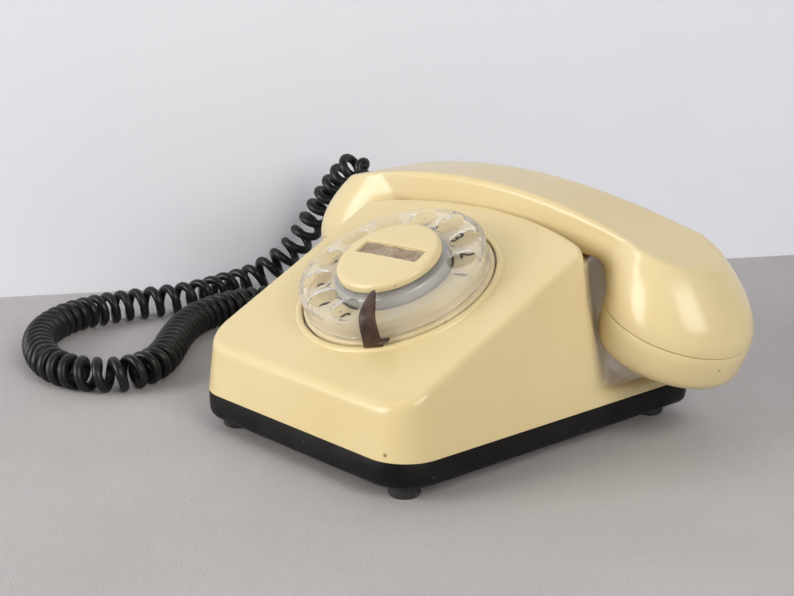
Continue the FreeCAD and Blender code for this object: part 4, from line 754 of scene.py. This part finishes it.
# The handset is a hollow cream grip that arches between two domes and lies across the cradle.
# Its flat, gently crowned top meets the sides in a soft crease, and a thin line parts it from the caps.
handset_place = (2.2, handset_line, 99.8)
handset_tilt = math.radians(2.46)
handset_seat = Matrix.Translation(handset_place) @ Matrix.Rotation(handset_tilt, 4, "Y")
crest_radius = 322.0
grip_half = 17.5
grip_flare = 3.2
flare_power = 2.5
grip_lean = 0.06
grip_slant = 0.985
grip_deep = 21.0
grip_round = 5.0
grip_end = 86.0
grip_end_round = 4.0
cup_span = 89.2
cup_drop = 42.2
cup_turn = math.radians(15.2)
cup_radius = 31.8
dome_height = 27.6
dome_taper = 11.0
dome_shift = 11.8
dome_swell = 1.9
dome_limit = 1.35
neck_round = (3.0, 11.0)
neck_power = 1.5
crease_round = (2.4, 1.7)
crease_span = (35.0, 45.0)
handset_wall = 3.0
handset_box = ((-126, -36, -62), (126, 36, 3))
handset_grid = 1.15
seam_gap = 0.22
cup_inner_edge = 30.0
least_reach = 1e-6


def handset_body(x, y, z):
    """How far a point lies outside the handset's outer form, with its crown at the origin."""
    top = np.hypot(x, z + crest_radius) - crest_radius
    crest = np.sqrt(np.maximum(crest_radius ** 2 - x ** 2, 1.0)) - crest_radius
    sunk = np.maximum(crest - z, 0)
    half_width = grip_half + grip_flare * np.abs(x / cup_span) ** flare_power + grip_lean * sunk
    side = (np.abs(y) - half_width) * grip_slant
    under = -grip_deep - z
    grip = ridge(ridge(side, under, grip_round), np.abs(x) - grip_end, grip_end_round)
    along = np.abs(x) - cup_span
    lift = z + cup_drop
    rise = along * math.sin(cup_turn) + lift * math.cos(cup_turn)
    out = along * math.cos(cup_turn) - lift * math.sin(cup_turn)
    share = np.clip(rise / dome_height, 0, dome_limit)
    away_from = out + dome_shift * share ** dome_swell
    reach = np.maximum(np.hypot(away_from, y), least_reach)
    steep = dome_swell * share ** (dome_swell - 1) / dome_height
    steep = steep * (dome_taper + dome_shift * away_from / reach)
    dome = (reach - cup_radius + dome_taper * share ** dome_swell) / np.sqrt(1 + steep ** 2)
    neck = neck_round[0] + neck_round[1] * np.clip(sunk / grip_deep, 0, 1) ** neck_power
    towards_end = np.clip((np.abs(x) - crease_span[0]) / crease_span[1], 0, 1)
    return ridge(top, valley(grip, dome, neck), crease_round[0] - crease_round[1] * towards_end)


def handset_shell(x, y, z):
    """How far a point lies outside the handset's wall."""
    body = handset_body(x, y, z)
    return np.maximum(body, -(body + handset_wall))


shell = moulded("handset_grip_shell", handset_shell, handset_box, handset_grid, handset_seat)
for end in (1, -1):
    cup_axis = Vector((end * math.sin(cup_turn), 0, math.cos(cup_turn)))
    cup_place = handset_seat @ (Vector((end * cup_span, 0, -cup_drop)) + cup_axis * seam_gap)
    cup_facing = handset_seat.to_3x3() @ cup_axis
    parted(shell, cup_place * mm, cup_facing, lambda m: end * (m.x / mm - handset_place[0]) > cup_inner_edge)
finished(shell, cream_finish, "handset", "cream_plastic", "handset_shell", crease=42)


# The earpiece and mouthpiece caps are cream turned mouldings that screw into the two cups.
# Each has a rounded lower edge and a recessed face, pierced with sound holes in a ring and the middle.
cap_ring_profile = [(24.0, -17.1), (24.3, -17.4), (25.2, -17.5), (27.4, -17.2), (29.2, -16.3),
                    (30.4, -14.9), (31.1, -13.0), (31.5, -10.0), (31.75, -5.0), (31.8, -0.7),
                    (31.65, -0.35), (31.3, -0.2), (28.2, -0.2), (28.2, 4.6), (26.6, 4.6), (26.4, -14.6),
                    (24.0, -14.9)]
face_radius = 24.2
face_gauge = 2.2
face_level = -16.9
sound_radius = 1.6
sound_circle = 10.0
mouthpiece_holes = 8
earpiece_holes = 6
face_facets = 96
hole_facets = 24
weld_gap = 0.01

face_tree, face_in, face_out = new_group(
    "pierced_face", "GeometryNodeTree",
    {"Geometry": "Geometry", "Face Radius": "Float", "Hole Radius": "Float", "Hole Circle": "Float",
     "Hole Count": "Int", "Gauge": "Float", "Plastic": "Material"}, {"Geometry": "Geometry"})
face_edge = add(face_tree, "GeometryNodeCurvePrimitiveCircle", Resolution=face_facets)
face_hole = add(face_tree, "GeometryNodeCurvePrimitiveCircle", Resolution=hole_facets)
face_pull = add(face_tree, "GeometryNodeExtrudeMesh", Individual=False)
face_weld = add(face_tree, "GeometryNodeMergeByDistance", Distance=weld_gap * mm)
face_spots, face_row, face_rims, face_flat, face_fill, face_back, face_both, face_real, face_dress = (
    add(face_tree, "GeometryNode" + kind)
    for kind in ("MeshCircle", "InstanceOnPoints", "JoinGeometry", "RealizeInstances", "FillCurve",
                 "FlipFaces", "JoinGeometry", "RealizeInstances", "SetMaterial"))
join(face_tree, (face_in, "Face Radius", face_edge, "Radius"),
     (face_in, "Hole Radius", face_hole, "Radius"), (face_in, "Hole Circle", face_spots, "Radius"),
     (face_in, "Hole Count", face_spots, "Vertices"), (face_spots, 0, face_row, "Points"),
     (face_hole, 0, face_row, "Instance"), (face_edge, 0, face_rims, 0), (face_hole, 0, face_rims, 0),
     (face_row, 0, face_rims, 0), (face_rims, 0, face_flat, 0), (face_flat, 0, face_fill, 0),
     (face_fill, 0, face_pull, "Mesh"), (face_in, "Gauge", face_pull, "Offset Scale"),
     (face_fill, 0, face_back, 0), (face_pull, 0, face_both, 0), (face_back, 0, face_both, 0),
     (face_both, 0, face_weld, 0), (face_weld, 0, face_real, 0), (face_real, 0, face_dress, "Geometry"),
     (face_in, "Plastic", face_dress, "Material"), (face_dress, 0, face_out, "Geometry"))

for end, label, holes in ((1, "mouthpiece", mouthpiece_holes), (-1, "earpiece", earpiece_holes)):
    cap_seat = (handset_seat @ Matrix.Translation((end * cup_span, 0, -cup_drop))
                @ Matrix.Rotation(end * cup_turn, 4, "Y"))
    cap_rim = turned(label + "_cap_ring", cap_ring_profile, cap_seat)
    pierced = grown(label + "_sound_face", [(0, 0)], face_tree,
                    {"Face Radius": face_radius, "Hole Radius": sound_radius, "Hole Circle": sound_circle,
                     "Hole Count": holes, "Gauge": face_gauge, "Plastic": cream_finish})
    pierced.data.transform(Matrix.Scale(mm, 4) @ cap_seat @ Matrix.Translation((0, 0, face_level))
                           @ Matrix.Scale(1 / mm, 4))
    finished(pierced, cream_finish, "handset", "cream_plastic")
    finished(cap_rim, cream_finish, "handset", "cream_plastic", label + "_cap")


# The handset cord is a curly, black sheathed wire that hangs from the handset and lies on the table.
# It is wound on a rod when made, and its straight tails go into two rubber glands.
table_level = 8.65
cord_hang = [(-126.8, 78.25, 73.77), (-141.84, 87.82, 78.34), (-149, 87.5, 79), (-159, 88.5, 71),
             (-169, 88.5, 61), (-178, 88, 49.5), (-186, 86, 37), (-192, 81.5, 26.5), (-197, 75, 18.5),
             (-201, 66, 13)]
cord_lie = [(-204, 55), (-204, 43), (-202, 29), (-202, 15), (-206, 0), (-212, -17), (-217, -37),
            (-214, -59), (-201, -79), (-180, -93), (-157, -101), (-136, -99), (-121, -86), (-121, -67),
            (-133, -50), (-149, -34), (-164, -15), (-172, 5), (-173, 24), (-165, 42), (-150, 55),
            (-131, 61), (-114, 61)]
cord_climb = [(-110.15, 60, 12), (-91.75, 60, 12)]
cord_route = cord_hang + [(x, y, table_level) for x, y in cord_lie] + cord_climb
curl_pitch = [(0, 9.4), (9, 9.8), (14, 9.2), (16, 6.8), (18, 6.2), (20, 6.4), (22, 8.4), (23, 6.7),
              (25, 6.2), (29, 6.4), (31, 8.5), (34, 9.5)]
curl_radius = 6.2
wire_radius = 2.3
straight_tail = 9.2
curl_onset = 3
curl_steps = 22
wire_sides = 12
route_order = 3
route_steps = 24
sheath_colours = [(0.006, 0.006, 0.006), (0.011, 0.0105, 0.01), (0.06, 0.057, 0.054)]


def unit(rows):
    """Rows of vectors, each scaled to a length of one."""
    return rows / np.linalg.norm(rows, axis=1)[:, None]


route_curve = bpy.data.curves.new("cord_route", "CURVE")
route_curve.dimensions = "3D"
route_line = route_curve.splines.new("NURBS")
route_line.points.add(len(cord_route) - 1)
for spot, (x, y, z) in zip(route_line.points, cord_route):
    spot.co = (x * mm, y * mm, z * mm, 1)
route_line.order_u = route_order
route_line.use_endpoint_u = True
route_line.resolution_u = route_steps
route_guide = placed("cord_route", route_curve)
route_mesh = frozen(route_guide)
route = np.array([v.co for v in route_mesh.vertices]) / mm
bpy.data.objects.remove(route_guide)
bpy.data.meshes.remove(route_mesh)

station = np.linspace(0, len(cord_route) - 1, len(route))
gone = np.concatenate([[0], np.cumsum(np.linalg.norm(np.diff(route, axis=0), axis=1))])
pitch = np.interp(station, [s for s, _ in curl_pitch], [p for _, p in curl_pitch])
turn_rate = math.tau / pitch
turned_by = np.concatenate([[0], np.cumsum(np.diff(gone) * (turn_rate[1:] + turn_rate[:-1]) / 2)])
phase = np.linspace(0, turned_by[-1], int(turned_by[-1] / math.tau * curl_steps) + 1)
reach = np.interp(phase, turned_by, gone)
centre = np.stack([np.interp(reach, gone, route[:, i]) for i in range(3)], 1)
heading = unit(np.stack([np.interp(reach, gone, np.gradient(route[:, i], gone)) for i in range(3)], 1))
upright = unit(np.array([0, 0, 1.0]) - heading * heading[:, 2:3])
sideways = np.cross(heading, upright)
spread = np.clip((np.minimum(reach, gone[-1] - reach) - straight_tail) / (curl_onset * curl_radius), 0, 1)
swell = curl_radius * spread ** 2 * (3 - 2 * spread)
radial = upright * np.cos(phase)[:, None] + sideways * np.sin(phase)[:, None]
wire = centre + swell[:, None] * radial
wire_ahead = unit(np.gradient(wire, axis=0))
wire_out = unit(radial - wire_ahead * (radial * wire_ahead).sum(1)[:, None])
wire_side = np.cross(wire_ahead, wire_out)
wire_turns = np.linspace(0, math.tau, wire_sides, endpoint=False)
wire_cos = np.cos(wire_turns)[:, None]
wire_sin = np.sin(wire_turns)[:, None]
wire_rings = [spot + wire_radius * (wire_cos * out + wire_sin * side)
              for spot, out, side in zip(wire, wire_out, wire_side)]
cord = ringed("curly_handset_cord", wire_rings)
cord_finish = worn_finish("black_cord_sheath", *sheath_colours, shine=0.3, dull=0.5,
                          patch=80.0, grain=1200.0, relief=0.05, speck_scale=500.0, share=0.1,
                          strength=0.3, gloss=0.35)
finished(cord, cord_finish, None, "cord_black", "handset_cord", crease=60)
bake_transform(cord)


# The cord glands, the line inlet and the works inside keep the shapes of the solids.
# They are of rubber, steel, turned brass, wound copper, brown board, alloy and moulded plastic.
steel_finish = metal_finish("dull_steel", (0.46, 0.45, 0.43), (0.33, 0.31, 0.28), shine=0.3, dull=0.5)
brass_finish = metal_finish("tarnished_brass", (0.62, 0.44, 0.17), (0.40, 0.26, 0.10), shine=0.28, dull=0.5)
copper_finish = metal_finish("lacquered_copper", (0.60, 0.25, 0.11), (0.40, 0.15, 0.07), shine=0.3,
                             dull=0.5)
board_finish = metal_finish("brown_board", (0.16, 0.07, 0.03), (0.11, 0.05, 0.02), shine=0.4, dull=0.6,
                            metal=0.0)
can_finish = metal_finish("blue_can", (0.03, 0.09, 0.24), (0.02, 0.06, 0.17), shine=0.3, dull=0.45,
                          metal=0.0)
inner_finishes = {
    rubber_finish: ["base_strain_relief", "handset_strain_relief", "line_inlet"],
    tray_finish: ["hook_plungers", "terminal_block", "induction_coil"],
    steel_finish: ["housing_screws", "dial_frame", "dial_shaft", "pulse_shaft", "governor_shaft",
                   "dial_bridge", "mainspring", "hook_pin", "hook_bracket", "hook_lever", "ringer_frame",
                   "gong_screws", "board_standoffs", "terminal_screws", "clapper"],
    brass_finish: ["main_gear", "pulse_gear", "governor_weights", "governor_drum", "pulse_contacts",
                   "hook_contacts", "gong_left", "gong_right"],
    copper_finish: ["ringer_coils"],
    board_finish: ["circuit_board", "pulse_cam"],
    can_finish: ["capacitor"],
    alloy_finish: ["receiver_capsule", "transmitter_capsule"],
}
for finish, names in inner_finishes.items():
    for name in names:
        for slot in nodes[name].material_slots:
            slot.material = finish


# The phone stands on a pale cloth in front of a pale wall, in soft light from two windows and above.
# The camera looks down a little on its right front corner.
floor_half = 4.0
wall_foot = Vector((-0.2989, -0.0465, 0))
wall_run = Vector((0.544, 0.839, 0))
wall_height = 3.0
floor_colour = (0.54, 0.515, 0.51)
floor_shade = (0.49, 0.465, 0.46)
wall_colour = (0.83, 0.845, 0.90)
wall_shade = (0.79, 0.805, 0.87)
cloth_fleck = (0.5, 0.5, 0.52)
room_colour = (0.80, 0.84, 0.90)
room_strength = 0.15
phone_middle = (0.0, 0.0, 0.05)
camera_place = (0.43810, -0.44855, 0.24141)
camera_back = Vector((0.688296, -0.666549, 0.286289)).normalized()
camera_lens = 67.88
camera_sensor = 36.0
camera_near = 0.01


def sheet_piece(name, corners, material):
    """A flat sheet of the stage, from its four corners."""
    mesh = bpy.data.meshes.new(name)
    mesh.from_pydata(corners, [], [(0, 1, 2, 3)])
    mesh.materials.append(material)
    placed(name, mesh)


cloth_finish = worn_finish("pale_cloth", floor_colour, floor_shade, cloth_fleck, shine=0.85, dull=0.95,
                           patch=5.0, grain=1500.0, relief=0.7, speck_scale=600.0, speck_size=0.4,
                           share=0.35, strength=0.3)
wall_finish = worn_finish("pale_wall", wall_colour, wall_shade, wall_colour, shine=0.9, dull=0.95,
                          patch=1.2, strength=0.0)
floor_corners = [(-1, -1), (1, -1), (1, 1), (-1, 1)]
sheet_piece("floor_cloth", [(x * floor_half, y * floor_half, 0) for x, y in floor_corners], cloth_finish)
wall_left = wall_foot - wall_run * floor_half
wall_right = wall_foot + wall_run * floor_half
wall_rise = Vector((0, 0, wall_height))
sheet_piece("back_wall", [wall_left, wall_right, wall_right + wall_rise, wall_left + wall_rise],
            wall_finish)
wall_tree = wall_finish.node_tree
wall_side = add(wall_tree, "ShaderNodeNewGeometry")
wall_gone = add(wall_tree, "ShaderNodeBsdfTransparent")
wall_mix = add(wall_tree, "ShaderNodeMixShader")
wall_skin = wall_tree.nodes["Principled BSDF"]
wall_out = wall_tree.nodes["Material Output"]
join(wall_tree, (wall_side, "Backfacing", wall_mix, 0), (wall_skin, 0, wall_mix, 1),
     (wall_gone, 0, wall_mix, 2), (wall_mix, 0, wall_out, "Surface"))


def window_light(name, place, target, width, height, power, colour):
    """The soft light of a window or ceiling, turned to face a spot."""
    lamp = bpy.data.lights.new(name, "AREA")
    lamp.shape = "RECTANGLE"
    lamp.size = width
    lamp.size_y = height
    lamp.energy = power
    lamp.color = colour
    piece = placed(name, lamp)
    piece.location = place
    piece.rotation_euler = (Vector(target) - Vector(place)).to_track_quat("-Z", "Y").to_euler()


window_light("window_right", place=(1.25, -0.3, 0.78), target=phone_middle, width=0.8, height=1.0,
             power=15.5, colour=(1.0, 0.98, 0.955))
window_light("window_front", place=(-0.8, -1.65, 0.62), target=phone_middle, width=1.1, height=1.1,
             power=31.5, colour=(1.0, 0.98, 0.95))
window_light("ceiling_glow", place=(0.1, -0.2, 1.9), target=(0.0, 0.0, 0.0), width=1.6, height=1.6,
             power=1.2, colour=(0.95, 0.98, 1.0))

world = bpy.data.worlds.new("room")
world.use_nodes = True
room_glow = world.node_tree.nodes["Background"]
room_glow.inputs["Color"].default_value = (*room_colour, 1)
room_glow.inputs["Strength"].default_value = room_strength
scene.world = world

camera = bpy.data.cameras.new("camera")
camera.lens = camera_lens
camera.sensor_width = camera_sensor
camera.clip_start = camera_near
viewer = placed("camera", camera)
viewer.location = camera_place
viewer.rotation_euler = camera_back.to_track_quat("Z", "Y").to_euler()
scene.camera = viewer
scene.view_settings.view_transform = "Standard"

bpy.context.view_layer.update()
